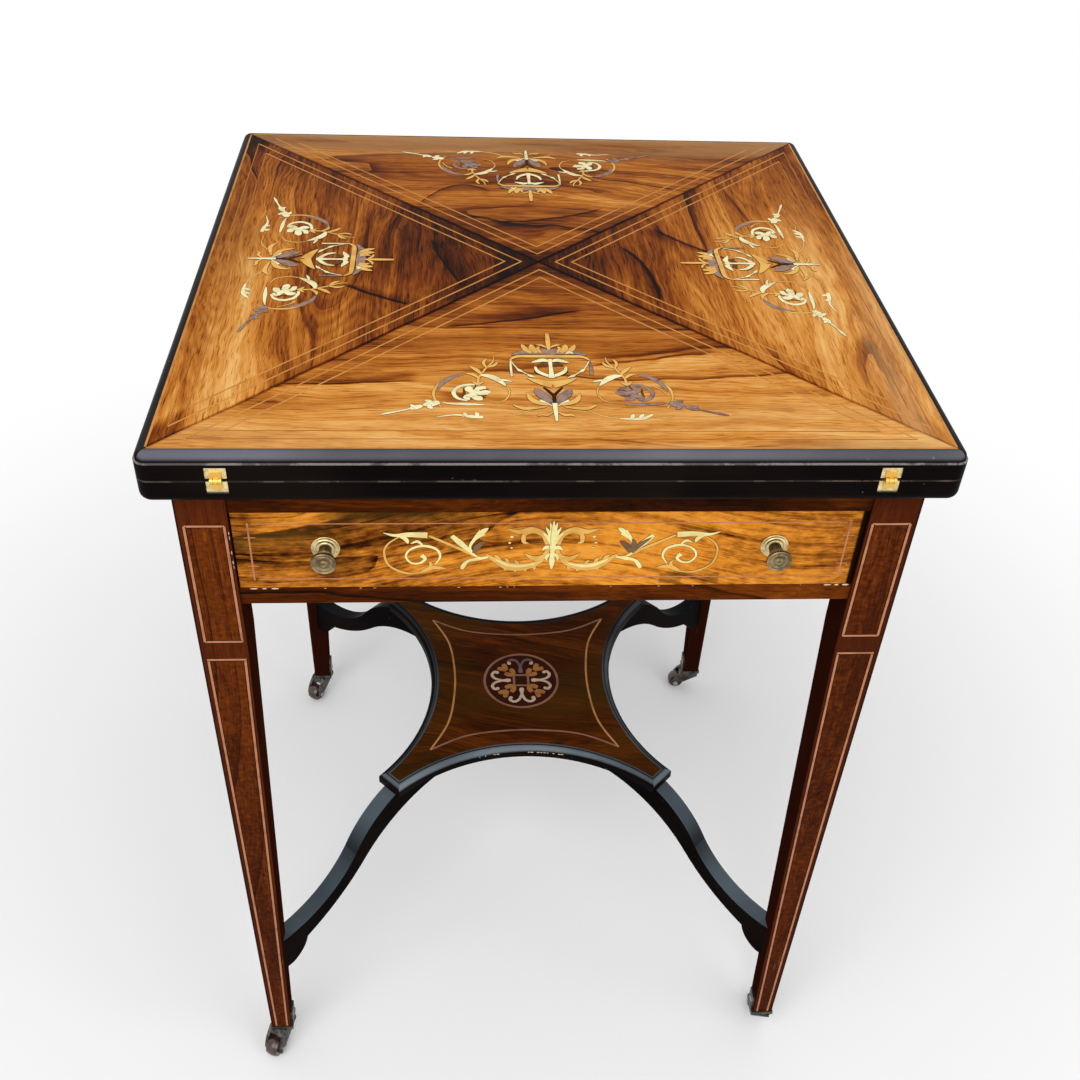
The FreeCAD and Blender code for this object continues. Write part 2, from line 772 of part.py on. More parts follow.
castor_plates = []
for corner, (side_x, side_y) in CORNERS.items():
    foot_x = foot_middle * side_x
    foot_y = foot_middle * side_y
    trail_angle = CASTOR_TRAILS[corner]
    way = FreeCAD.Rotation(Z, trail_angle).multVec(X)
    castor_plates.append(castor_plate(corner, side_x, side_y))
    screw = turn(wood_screw(f"lug_screw_{corner}", s.lug_screw_length), (Y, 90 * side_x))
    screw_lean = lug_face + lug_lean / 2
    lug_middle = s.castor_height + s.castor_lug_height / 2
    frame_screws.append(move(screw, foot_x - screw_lean * side_x, foot_y, lug_middle))
    horn = turn(castor_horn(corner), (Z, trail_angle))
    node(move(horn, foot_x, foot_y), f"castor_horn_{corner}")
    wheel_x = foot_x + s.castor_trail * way.x
    wheel_y = foot_y + s.castor_trail * way.y
    for maker, label in ((castor_axle, "castor_axle"), (castor_wheel, "castor_wheel")):
        item = turn(maker(corner), (Z, trail_angle), (X, -90))
        node(move(item, wheel_x, wheel_y, s.wheel_radius), f"{label}_{corner}")
node(group("castor_plates", castor_plates), "castor_plates")
node(group("frame_screws", frame_screws), "frame_screws")

# Edge hinges. Each is drawn at the front edge, about a pin along X in the seam at the top's outer
# face, and then turned to its own side of the table.
hinge_offset = half_top - s.hinge_inset
leaf_half = s.hinge_leaf_width / 2
boss_half = s.hinge_boss_width / 2
barrel_half = s.hinge_barrel_length / 2
knuckle_half = s.hinge_knuckle_length / 2
leaf_face = edge - s.hinge_leaf_sink
leaf_back = leaf_face - s.hinge_leaf_thickness
leaf_far = s.hinge_leaf_drop + s.hinge_leaf_height
along_x = (Y, 90)


def hinge_rod(name, radius, left, right, at_x):
    """A round shape about the hinge's axis, from left to right of the hinge's middle."""
    return rod(name, radius, right - left, (at_x + left, -half_top, seam), along_x)


def level_box(name, left, right, front, back, near, far, up):
    """A block between two distances from the seam, above it where up is 1 and below it where up is -1."""
    low, high = sorted((seam + near * up, seam + far * up), key=lambda size: size.number)
    return board(name, (left, front, low), (right, back, high))


def hinge_leaf(name, at_x, up):
    """A leaf let into the edge: the flap's has the middle knuckle, the bed's the two outer ones."""
    leaf = level_box(f"{name}_plate", at_x - leaf_half, at_x + leaf_half, -leaf_face, -leaf_back,
                     s.hinge_leaf_drop, leaf_far, up)
    boss = level_box(f"{name}_boss", at_x - boss_half, at_x + boss_half, -edge, -leaf_back,
                     s.hinge_leaf_drop, leaf_far - s.hinge_boss_margin, up)
    clear = s.hinge_barrel_radius + s.hinge_clearance
    outer = barrel_half + s.hinge_clearance
    inner = knuckle_half + s.hinge_clearance
    if up == 1:
        barrel = hinge_rod(f"{name}_barrel", s.hinge_barrel_radius, -knuckle_half, knuckle_half, at_x)
        gaps = [
            hinge_rod(f"{name}_gap_left", clear, -outer, -knuckle_half, at_x),
            hinge_rod(f"{name}_gap_right", clear, knuckle_half, outer, at_x),
        ]
    else:
        barrel = hinge_rod(f"{name}_barrel", s.hinge_barrel_radius, -barrel_half, barrel_half, at_x)
        gaps = [hinge_rod(f"{name}_gap", clear, -inner, inner, at_x)]
    bore = hinge_rod(f"{name}_bore", s.hinge_pin_radius + s.hinge_running_fit, -outer, outer, at_x)
    return cut(name, join(f"{name}_blank", leaf, boss, barrel), *gaps, bore)


def hinge_notch(name, at_x, up):
    """The seat that one leaf and its half of the barrel are let into."""
    reach = leaf_half + s.hinge_notch_clearance
    seat = level_box(f"{name}_seat", at_x - reach, at_x + reach, -edge - s.overrun, -leaf_back,
                     -s.overrun, leaf_far, up)
    end = barrel_half + s.hinge_notch_clearance
    hollow = hinge_rod(f"{name}_hollow", s.hinge_barrel_radius + s.hinge_notch_clearance, -end, end, at_x)
    return join(name, seat, hollow)


def hinge_pin(name, at_x):
    return group(name, [hinge_rod(f"{name}_rod", s.hinge_pin_radius, -barrel_half, barrel_half, at_x)])


def hinge_places(maker, name, angle, *settings):
    """Both hinges of one side, turned to that side."""
    return [
        turn(maker(f"{name}_{i}", hinge_offset * sign, *settings), (Z, angle))
        for i, sign in enumerate((-1, 1))
    ]


bed_leaves = []
bed_notches = []
hinge_pins = []
for side, angle in SIDES.items():
    bed_leaves += hinge_places(hinge_leaf, f"bed_leaf_{side}", angle, -1)
    bed_notches += hinge_places(hinge_notch, f"bed_notch_{side}", angle, -1)
    hinge_pins += hinge_places(hinge_pin, f"hinge_pin_{side}", angle)
node(group("hinge_bed_leaves", bed_leaves), "hinge_bed_leaves")
node(group("hinge_pins", hinge_pins), "hinge_pins")

# Bed: the board that the flaps fold onto, rounded along its lower edge, with its baize let in
top_corners, top_bends = rounded_square(edge, s.top_corner_radius)
bed_blank = plate("bed_blank", top_corners, bed_low, bed_high - bed_low, top_bends)
round_over(bed_blank, bed_low, s.bed_edge_round)
baize_half = edge - s.bed_border
bed_recess = sketch_on(bed_blank, "XY_Plane", bed_high)
baize_square = rectangle(-baize_half, -baize_half, baize_half, baize_half)
outline(bed_recess, baize_square)
pocket(bed_blank, bed_recess, baize_recess)
node(cut("bed", bed_blank, *bed_notches), "bed")
node(plate("bed_baize", baize_square, bed_high - baize_recess, s.baize_thickness), "bed_baize")

# Flaps: one moulded slab, sawn along its diagonals into four leaves. The moulding is a separate
# ebonised lipping along the outer edge of each.
ledge_level = s.table_height - s.moulding_rise
slab = plate("flap_slab", top_corners, flap_low, ledge_level - flap_low, top_bends)
upper = sketch_on(slab, "XY_Plane", ledge_level)
outline(upper, *rounded_square(edge - s.moulding_ledge, s.top_corner_radius - s.moulding_ledge))
pad(slab, upper, s.moulding_rise)
round_over(slab, s.table_height, s.moulding_round)

mitre_shift = s.mitre_gap / ROOT_TWO
tip_half = s.flap_tip_width / 2


def flap_triangle(base, shift, tip):
    """A triangle with its base at the front, its sides along the diagonals and its tip cut short."""
    return [(-(base - shift), -base), (base - shift, -base), (tip, -(tip + shift)), (-tip, -(tip + shift))]


lipping_line = edge - s.moulding_width
lining_base = edge - s.bed_border
lining_shift = mitre_shift + s.flap_border * ROOT_TWO
flap_full_height = s.flap_thickness + s.overrun * 2
for side, angle in SIDES.items():
    leaf_shape = plate(f"flap_leaf_{side}", flap_triangle(half_top + s.overrun, mitre_shift, tip_half),
                       seam - s.overrun, flap_full_height)
    panel_shape = plate(f"flap_panel_{side}", flap_triangle(lipping_line, mitre_shift, tip_half),
                        seam - s.overrun, flap_full_height)
    lining_corners = flap_triangle(lining_base, lining_shift, tip_half)
    recess_shape = plate(f"flap_recess_{side}", lining_corners, flap_low - s.overrun,
                         s.overrun + baize_recess)
    lining = plate(f"flap_baize_{side}", lining_corners, flap_low + s.baize_sink, s.baize_thickness)
    for item in (leaf_shape, panel_shape, recess_shape, lining):
        turn(item, (Z, angle))
    sawn = common(f"flap_sawn_{side}", slab, leaf_shape)
    panel = common(f"flap_blank_{side}", sawn, panel_shape)
    notches = hinge_places(hinge_notch, f"flap_notch_{side}", angle, 1)
    node(cut(f"flap_board_{side}", panel, recess_shape), f"flap_board_{side}")
    lipping_tools = [panel_shape, recess_shape, *notches]
    node(cut(f"flap_moulding_{side}", sawn, *lipping_tools), f"flap_moulding_{side}")
    node(lining, f"flap_baize_{side}")
    leaves = hinge_places(hinge_leaf, f"flap_leaf_plate_{side}", angle, 1)
    node(group(f"hinge_flap_leaves_{side}", leaves), f"hinge_flap_leaves_{side}")

# Swivel: the plate screwed under the bed carries the stud and the stop peg; the nut holds the top down
swivel_plate_thickness = s.turning_gap - s.slide_clearance
swivel_low = bed_low - swivel_plate_thickness
well_top = pivot_low + nut_well_depth
washer_low = well_top - s.slide_clearance - s.swivel_washer_thickness
nut_low = washer_low - s.swivel_nut_thickness
swivel_disc = rod("swivel_disc", s.swivel_plate_radius, swivel_plate_thickness, (ZERO, ZERO, swivel_low))
swivel_stud = rod("swivel_stud", s.swivel_stud_radius, bed_low - nut_low, (ZERO, ZERO, nut_low))
peg_low = frieze_top - s.stop_peg_length
stop_peg = rod("stop_peg", s.stop_peg_radius, bed_low - peg_low, (s.stop_peg_reach, ZERO, peg_low))
node(join("swivel_plate", swivel_disc, swivel_stud, stop_peg), "swivel_plate")
thread_radius = s.swivel_stud_radius + s.swivel_running_fit
washer = turned("swivel_washer", [
    (thread_radius, washer_low),
    (s.swivel_washer_radius, washer_low),
    (s.swivel_washer_radius, washer_low + s.swivel_washer_thickness),
    (thread_radius, washer_low + s.swivel_washer_thickness),
])
node(washer, "swivel_washer")
nut = new_body("swivel_nut")
hexagon = sketch_on(nut, "XY_Plane", nut_low)
nut_corner = s.swivel_nut_width / size_of(3).root()
nut_corners = [
    (nut_corner * math.cos(math.radians(30 + 60 * k)), nut_corner * math.sin(math.radians(30 + 60 * k)))
    for k in range(6)
]
outline(hexagon, nut_corners)
ring_outline(hexagon, thread_radius)
pad(nut, hexagon, s.swivel_nut_thickness)
node(nut, "swivel_nut")
plate_screws = []
for i, angle in enumerate((45, 135, 225, 315)):
    way = FreeCAD.Rotation(Z, angle).multVec(X)
    item = wood_screw(f"plate_screw_{i}", s.plate_screw_length)
    plate_screws.append(move(item, s.plate_screw_reach * way.x, s.plate_screw_reach * way.y, swivel_low))
node(group("swivel_screws", plate_screws), "swivel_screws")

# Drawer: veneered front, two sides and a back, with the bottom let into grooves
front_back = s.drawer_front_thickness - rail_face
drawer_end = rail_inner - s.drawer_back_gap
side_inner = drawer_half - s.drawer_side_thickness
bottom_low = drawer_low + s.drawer_bottom_rise
bottom_high = bottom_low + s.drawer_bottom_thickness
side_high = drawer_low + s.drawer_side_height
groove_half = side_inner + s.drawer_groove
groove_front = front_back - s.drawer_groove
knob_level = (drawer_low + drawer_high) / 2 + s.knob_rise
knob_offset = drawer_half - s.knob_inset
groove = board("drawer_groove_space", (-groove_half, groove_front, bottom_low),
               (groove_half, drawer_end + s.overrun, bottom_high))
front_blank = board("drawer_front_blank", (-drawer_half, -rail_face, drawer_low),
                    (drawer_half, front_back, drawer_high))
knob_holes = [
    rod(f"knob_hole_{i}", s.knob_stem_radius, s.knob_stem_length + s.overrun,
        (knob_offset * sign, -rail_face + s.knob_stem_length, knob_level), (X, 90))
    for i, sign in enumerate((-1, 1))
]
node(cut("drawer_front", front_blank, groove, *knob_holes), "drawer_front")
drawer_sides = []
for side, sign in (("left", -1), ("right", 1)):
    near, far = sorted((side_inner * sign, drawer_half * sign), key=lambda size: size.number)
    blank = board(f"drawer_side_{side}_blank", (near, front_back, drawer_low), (far, drawer_end, side_high))
    drawer_sides.append(cut(f"drawer_side_{side}", blank, groove))
node(group("drawer_sides", drawer_sides), "drawer_sides")
drawer_back = board("drawer_back", (-side_inner, drawer_end - s.drawer_side_thickness, bottom_high),
                    (side_inner, drawer_end, side_high - s.drawer_back_drop))
node(drawer_back, "drawer_back")
bottom_half = groove_half - s.drawer_groove_fit
drawer_bottom = board("drawer_bottom", (-bottom_half, groove_front + s.drawer_groove_fit, bottom_low),
                      (bottom_half, drawer_end, bottom_high))
node(drawer_bottom, "drawer_bottom")

# Knobs and roses: turned brass, each knob screwed through its rose into the drawer front
KNOB_WAIST_SHARE = 0.47
KNOB_SHOULDER_SHARE = 0.82
KNOB_FACE_SHARE = 0.95
KNOB_RING_SHARE = 0.62
KNOB_NECK_TOP_SHARE = 1.1


def knob(name):
    """Turned about Z, with the drawer's face at the origin and the knob standing out along +Z."""
    neck = s.knob_neck_radius
    corners = [
        (ZERO, -s.knob_stem_length),
        (s.knob_stem_radius, -s.knob_stem_length),
        (s.knob_stem_radius, ZERO),
        (neck, s.rose_thickness),
        (neck * KNOB_NECK_TOP_SHARE, s.knob_projection * KNOB_WAIST_SHARE),
        (s.knob_radius, s.knob_projection * KNOB_SHOULDER_SHARE),
        (s.knob_radius, s.knob_projection * KNOB_FACE_SHARE),
        (s.knob_radius * KNOB_RING_SHARE, s.knob_projection),
        (ZERO, s.knob_projection),
    ]
    return turned(name, corners)


def rose(name):
    """A dished ring behind the knob."""
    hole = s.knob_neck_radius + s.knob_fit
    corners = [
        (hole, ZERO),
        (s.rose_radius, ZERO),
        (s.rose_radius - s.rose_rim / 2, s.rose_thickness),
        (s.rose_radius - s.rose_rim, s.rose_thickness),
        (hole, s.rose_thickness / 2),
    ]
    return turned(name, corners)


for maker, label in ((knob, "drawer_knobs"), (rose, "knob_roses")):
    pair = [
        move(turn(maker(f"{label}_{i}"), (X, 90)), knob_offset * sign, -rail_face, knob_level)
        for i, sign in enumerate((-1, 1))
    ]
    node(group(label, pair), label)

doc.recompute()

failed = [item.Label for item in doc.Objects if {"Invalid", "Error"} & set(item.State)]
failed += [item.Label for item in nodes if item.Shape.isNull() or not item.Shape.isValid()]
if failed:
    raise RuntimeError(f"these pieces failed: {sorted(set(failed))}")

os.makedirs("parts", exist_ok=True)
for item in nodes:
    item.Shape.exportStep(f"parts/{item.Label}.step")
print(f"{len(nodes)} pieces written")
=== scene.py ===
import json
import math

import bmesh
import bpy
from mathutils import Matrix, Vector


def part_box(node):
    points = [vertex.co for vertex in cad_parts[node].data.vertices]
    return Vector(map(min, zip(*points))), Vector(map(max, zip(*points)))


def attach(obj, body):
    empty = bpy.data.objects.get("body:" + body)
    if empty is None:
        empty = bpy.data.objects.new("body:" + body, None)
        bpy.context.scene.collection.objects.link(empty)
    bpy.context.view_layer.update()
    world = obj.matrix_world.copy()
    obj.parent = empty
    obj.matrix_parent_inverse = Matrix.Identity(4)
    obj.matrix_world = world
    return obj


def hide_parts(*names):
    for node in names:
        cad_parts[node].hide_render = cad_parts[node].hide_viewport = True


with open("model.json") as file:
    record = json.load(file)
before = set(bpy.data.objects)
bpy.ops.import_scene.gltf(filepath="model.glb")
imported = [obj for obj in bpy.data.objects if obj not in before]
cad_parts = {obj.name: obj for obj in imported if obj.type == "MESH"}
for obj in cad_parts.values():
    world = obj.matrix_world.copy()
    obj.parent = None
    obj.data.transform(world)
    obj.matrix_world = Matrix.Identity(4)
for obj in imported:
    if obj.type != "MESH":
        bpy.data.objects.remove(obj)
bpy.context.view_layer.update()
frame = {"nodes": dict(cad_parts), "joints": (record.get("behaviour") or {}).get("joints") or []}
nodes = frame["nodes"]


# Legs. Each is dark red rosewood under an old polish, square where the frieze is jointed into it and tapered
# on its two inner faces down to the castor. The outer faces have figured veneer inside boxwood lines, a
# panel above and a long one below, and the inner faces are plain and dull, darkened nearly to black as
# painted shade. The back legs and the front right leg are painted darker as shade.
class Wire:
    """One socket of a material or of a geometry tree. Sums on wires add Math nodes."""

    def __init__(self, socket):
        self.socket = socket

    def node(self, kind, settings={}, values={}, output=0):
        tree = self.socket.id_data
        made = tree.nodes.new(kind)
        for name, value in settings.items():
            if name == "stops":
                stops = made.color_ramp.elements
                stops[0].position, stops[-1].position = value[0][0], value[-1][0]
                for place, colour in value[1:-1]:
                    stops.new(place)
                for stop, (place, colour) in zip(stops, value):
                    stop.color = (*colour, 1.0)
            else:
                setattr(made, name, value)
        sockets = {s.identifier: s for s in made.inputs}
        for name, value in values.items():
            socket = made.inputs[name] if isinstance(name, int) else sockets.get(name) or made.inputs[name]
            if isinstance(value, Wire):
                tree.links.new(value.socket, socket)
            elif socket.type == "RGBA" and len(value) == 3:
                socket.default_value = (*value, 1.0)
            else:
                socket.default_value = value
        results = {s.identifier: s for s in made.outputs}
        return Wire(results.get(output) or made.outputs[output])

    def math(self, operation, first, second=0.0):
        return self.node("ShaderNodeMath", {"operation": operation}, {0: first, 1: second})

    def __add__(self, other):
        return self.math("ADD", self, other)

    def __radd__(self, other):
        return self.math("ADD", other, self)

    def __sub__(self, other):
        return self.math("SUBTRACT", self, other)

    def __rsub__(self, other):
        return self.math("SUBTRACT", other, self)

    def __mul__(self, other):
        return self.math("MULTIPLY", self, other)

    def __rmul__(self, other):
        return self.math("MULTIPLY", other, self)

    def size(self):
        return self.math("ABSOLUTE", self)

    def larger(self, other):
        return self.math("MAXIMUM", self, other)

    def smaller(self, other):
        return self.math("MINIMUM", self, other)

    def rise(self, low, high):
        """0 below low, 1 above high, smooth between."""
        settings = {"interpolation_type": "SMOOTHSTEP"}
        return self.node("ShaderNodeMapRange", settings, {"Value": self, "From Min": low, "From Max": high})

    def axis(self, name):
        return self.node("ShaderNodeSeparateXYZ", {}, {"Vector": self}, name)

    def turned(self, turn=(0, 0, 0), shift=(0, 0, 0), scale=(1, 1, 1)):
        values = {"Vector": self, "Rotation": turn, "Location": shift, "Scale": scale}
        return self.node("ShaderNodeMapping", {}, values)

    def moved(self, by):
        return self.node("ShaderNodeVectorMath", {"operation": "ADD"}, {0: self, 1: by})

    def cloud(self, along, across, detail=2.0, rough=0.5):
        """Noise with so many waves to the metre along X and across it."""
        stretched = self.turned(scale=(along, across, across))
        values = {"Vector": stretched, "Scale": 1.0, "Detail": detail, "Roughness": rough}
        return stretched.node("ShaderNodeTexNoise", {}, values)

    def blend(self, first, second):
        """The first colour where this wire is 0, and the second where it is 1."""
        values = {"Factor_Float": self, "A_Color": first, "B_Color": second}
        return self.node("ShaderNodeMix", {"data_type": "RGBA"}, values, "Result_Color")

    def relief(self, depth, strength=1.0):
        return self.node("ShaderNodeBump", {}, {"Height": self, "Distance": depth, "Strength": strength})


def new_finish(name, steady):
    """A material, its shader with the steady values set, and a wire of the object's own coordinates."""
    material = bpy.data.materials.new(name)
    material.use_nodes = True
    tree = material.node_tree
    shader = tree.nodes["Principled BSDF"]
    for socket, value in steady.items():
        shader.inputs[socket].default_value = value
    return material, shader, Wire(tree.nodes.new("ShaderNodeTexCoord").outputs["Object"])


def feed(shader, **wires):
    for name, wire in wires.items():
        socket = shader.inputs[name.replace("_", " ").title()]
        shader.id_data.links.new(wire.socket, socket)


def dress(material, *names):
    for name in names:
        for slot in nodes[name].material_slots:
            slot.material = material


rosewood_tones = (
    (0.0, (0.010, 0.004, 0.002)),
    (0.2, (0.060, 0.012, 0.002)),
    (0.4, (0.190, 0.041, 0.004)),
    (0.6, (0.420, 0.125, 0.013)),
    (0.8, (0.680, 0.275, 0.048)),
    (1.0, (0.850, 0.480, 0.150)),
)


def rosewood_figure(log, lift, contrast=1.0, tones=rosewood_tones):
    """Colour and surface height of rosewood, grain along the log's X, as dark or pale as the lift."""
    sway = (log.cloud(2.4, 6.0, 1.5, 0.4) - 0.5) * 0.14 + (log.cloud(11.0, 22.0, 2.0, 0.5) - 0.5) * 0.022
    drift = sway.node("ShaderNodeCombineXYZ", {}, {"Y": sway, "Z": sway * 0.36})
    bent = log.moved(drift)
    bands = bent.cloud(1.2, 22.0, 2.0, 0.5) - 0.5
    rings = bent.cloud(2.0, 150.0, 3.0, 0.6) - 0.5
    fine = bent.cloud(7.0, 640.0, 3.0, 0.65) - 0.5
    flecks = log.cloud(30.0, 80.0, 3.0, 0.62) - 0.5
    contour = bent.cloud(1.3, 10.0, 1.0, 0.4) * 9.0
    cycle = contour.math("FRACT", contour)
    veined = log.cloud(3.0, 9.0, 2.0).rise(0.44, 0.58)
    pencil = cycle.rise(0.88, 0.98) * veined
    growth = contour.math("SINE", contour * 40.0) * (0.25 + log.cloud(5.0, 14.0, 2.0).rise(0.4, 0.62) * 0.75)
    pores = log.cloud(60.0, 1100.0, 2.0).rise(0.56, 0.7)
    dashes = log.cloud(38.0, 380.0, 2.0).rise(0.6, 0.7)
    tone = bands * 0.85 + flecks * 0.26 + rings * 0.5 + fine * 0.45 + growth * 0.05
    tone = tone - cycle.rise(0.5, 1.0) * veined * 0.16 - pencil * 0.2 - pores * 0.22 - dashes * 0.14
    tone = lift + tone * contrast
    colour = tone.node("ShaderNodeValToRGB", {"stops": tones}, {"Fac": tone})
    return colour, fine - pores * 0.8


polish = {"Roughness": 0.34, "Specular IOR Level": 0.012}
leg_polish = {"Specular IOR Level": 0.0, "Coat Roughness": 0.3}
heart_red, scuffed_tone = (0.09, 0.015, 0.004), (0.2, 0.075, 0.03)
# The inner faces' near-black colour is partly the plain dull wood and partly painted shade.
arris_darkening, inner_dull_and_painted_shade = (0.014, 0.006, 0.004), (0.022, 0.005, 0.003)
grain_upright = (0.0, math.radians(90), 0.0)
per_metre = 1000.0
leg_outer = -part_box("leg_front_left")[0].y
line_far, line_near, line_near_foot = 253.2, 226.0, 242.6
panel_high, panel_low, long_high, long_low = 687.0, 578.0, 559.5, 36.6
# Painted shade for each leg: the back legs and the front right one are made darker, as if less lit.
leg_painted_shade = {"front_left": 0.0, "front_right": 0.045, "back_left": 0.13, "back_right": 0.13}

for number, (corner, painted_shade) in enumerate(leg_painted_shade.items()):
    leg_wood, shader, place = new_finish("leg_rosewood_" + corner, leg_polish)
    log = place.turned(grain_upright, (0.7 * number, 0.31 * number, 0.2))
    level = place.axis("Z") * per_metre
    foot = 1.0 - level.rise(50.0, 450.0)
    to_side, to_front = place.axis("X").size(), place.axis("Y").size()
    outer_face = to_side.larger(to_front).rise(leg_outer - 0.002, leg_outer - 0.0008)
    beside = to_side.smaller(to_front) * per_metre
    taper = (long_high - level) * ((line_near_foot - line_near) / (long_high - long_low))
    near = line_near + taper.larger(0.0)
    above = level.rise(panel_low, panel_low + 0.5) * (1.0 - level.rise(panel_high, panel_high + 0.5))
    below = 1.0 - level.rise(long_high, long_high + 0.5)
    within = (beside - near).rise(0.0, 0.5) * (1.0 - beside.rise(line_far, line_far + 0.5))
    in_panel = (above + below) * within * outer_face
    curl = (place.cloud(190.0, 240.0, 3.0, 0.65) - 0.5) * (0.12 + in_panel * 0.36)
    lift = 0.26 + in_panel * 0.05 - painted_shade - foot * 0.07 + curl
    colour, height = rosewood_figure(log, lift, 0.4 + in_panel * 0.1)
    colour = (0.45 - in_panel * 0.28 + foot * 0.1).blend(colour, heart_red)
    scuffs = log.cloud(40.0, 260.0, 3.0).rise(0.66, 0.7)
    colour = (scuffs * (0.15 + foot * 0.35)).blend(colour, scuffed_tone)
    from_arris = leg_outer * per_metre - beside
    # Darker along the last two millimetres of the outer arris.
    colour = ((1.0 - from_arris.rise(0.6, 2.2)) * 0.85).blend(colour, arris_darkening)
    # Inner faces: painted shade over the plain wood.
    colour = ((1.0 - outer_face) * 0.8).blend(colour, inner_dull_and_painted_shade)
    feed(shader, base_color=colour, coat_weight=outer_face * 0.06, roughness=0.34 + scuffs * 0.25)
    feed(shader, normal=height.relief(0.0001))
    dress(leg_wood, "leg_" + corner)


# Inlay strips. All the lines and the marquetry are thin strips of veneer let into the ground: each is
# a line on the face with a width along it, made solid by one tree of nodes and stood a hair proud.
class Inlay:
    """Strips drawn flat in millimetres on a face, later ones lying over earlier ones."""

    def __init__(self, foot=0.0):
        self.strips = []
        self.foot = foot

    def strip(self, wood, points, widths, steps=7):
        """A smooth strip through the points, or a straight one between them with one step."""
        points = [Vector((*p, 0.0)) for p in points]
        path = []
        for i in range(len(points) - 1):
            a = points[max(i - 1, 0)]
            b, c = points[i], points[i + 1]
            d = points[min(i + 2, len(points) - 1)]
            for k in range(steps):
                t = k / steps
                bow = (c - a) * t + (2 * a - 5 * b + 4 * c - d) * t ** 2
                bow += (3 * b - a - 3 * c + d) * t ** 3
                path.append(b + 0.5 * bow)
        path.append(points[-1])
        halves = []
        for i, spot in enumerate(path):
            t = i / (len(path) - 1) * (len(widths) - 1)
            k = min(int(t), len(widths) - 2)
            halves.append(0.5 * (widths[k] + (widths[k + 1] - widths[k]) * (t - k)))
            if 0 < i < len(path) - 1:
                bend = (spot - path[i - 1]).angle(path[i + 1] - spot, 0.0)
                halves[-1] /= max(math.cos(bend / 2), 0.6)
        self.strips.append((wood, path, halves))

    def line(self, wood, points, width):
        self.strip(wood, points, (width, width), steps=1)

    def frame(self, wood, corners, width):
        """A closed line round the corners, each side a strip of its own, mitred by overlap."""
        for ends in zip(corners, corners[1:] + corners[:1]):
            self.line(wood, ends, width)

    def draw(self, wood, points, width, base=0.25, ways=(-1, 1)):
        """A leaf where the width is one number, else a strip, on the left and the right of the middle."""
        if not isinstance(width, tuple):
            width = (width * base, width * 0.8, width, width * 0.72, 0.12)
        for way in ways:
            chosen = wood if isinstance(wood, str) else wood[way > 0]
            self.strip(chosen, [(way * x, self.foot + y) for x, y in points], width)


def new_tree(name, **inputs):
    """An empty tree of geometry nodes, and a wire from each of its named inputs."""
    tree = bpy.data.node_groups.new(name, "GeometryNodeTree")
    for label, kind in inputs.items():
        tree.interface.new_socket(label, in_out="INPUT", socket_type="NodeSocket" + kind)
    tree.interface.new_socket("Made", in_out="OUTPUT", socket_type="NodeSocketGeometry")
    return tree, {s.name: Wire(s) for s in tree.nodes.new("NodeGroupInput").outputs if s.name}


def end_tree(tree, made, wood):
    made = made.node("GeometryNodeRealizeInstances", {}, {"Geometry": made})
    made = made.node("GeometryNodeSetMaterial", {}, {"Geometry": made, "Material": wood})
    tree.links.new(made.socket, tree.nodes.new("NodeGroupOutput").inputs[0])


millimetre = 0.001
strip_step = 0.000004
strip_sunk = 0.0004
strip_proud = 0.00005
thinnest_half = 0.00004
outline_wide = 0.00022
strip_values = ("half_width", "proud")

strip_tree, given = new_tree("veneer_strips", Lines="Geometry", Sunk="Float", Wood="Material")
lines = given["Lines"].node("GeometryNodeMeshToCurve", {}, {"Mesh": given["Lines"]})
lines = lines.node("GeometryNodeSetCurveNormal", {"mode": "Z_UP"}, {"Curve": lines})
square = {"Width": 2.0, "Height": 2.0}
square = lines.node("GeometryNodeCurvePrimitiveQuadrilateral", {"mode": "RECTANGLE"}, square)
half, proud = (
    lines.node("GeometryNodeInputNamedAttribute", {"data_type": "FLOAT"}, {"Name": name})
    for name in strip_values
)
swept = {"Curve": lines, "Profile Curve": square, "Scale": half, "Fill Caps": True}
solid = lines.node("GeometryNodeCurveToMesh", {}, swept)
spot = solid.node("GeometryNodeInputPosition")
above = spot.axis("Z").math("GREATER_THAN", spot.axis("Z"), 0.0)
level = above * proud - (1.0 - above) * given["Sunk"]
flat = {"X": spot.axis("X"), "Y": spot.axis("Y"), "Z": level}
flat = spot.node("ShaderNodeCombineXYZ", {}, flat)
solid = solid.node("GeometryNodeSetPosition", {}, {"Geometry": solid, "Position": flat})
end_tree(strip_tree, solid, given["Wood"])


def in_scene(name, data):
    placed = bpy.data.objects.new(name, data)
    bpy.context.scene.collection.objects.link(placed)
    return placed


def as_plain_mesh(piece, tree, **inputs):
    """Runs a tree of nodes on the piece and leaves its result as a plain mesh."""
    modifier = piece.modifiers.new("made", "NODES")
    modifier.node_group = tree
    sockets = {s.name: s.identifier for s in tree.interface.items_tree if s.in_out == "INPUT"}
    for label, value in inputs.items():
        modifier[sockets[label]] = value
    bpy.context.view_layer.update()
    made = bpy.data.meshes.new_from_object(piece.evaluated_get(bpy.context.evaluated_depsgraph_get()))
    piece.modifiers.clear()
    piece.data = made


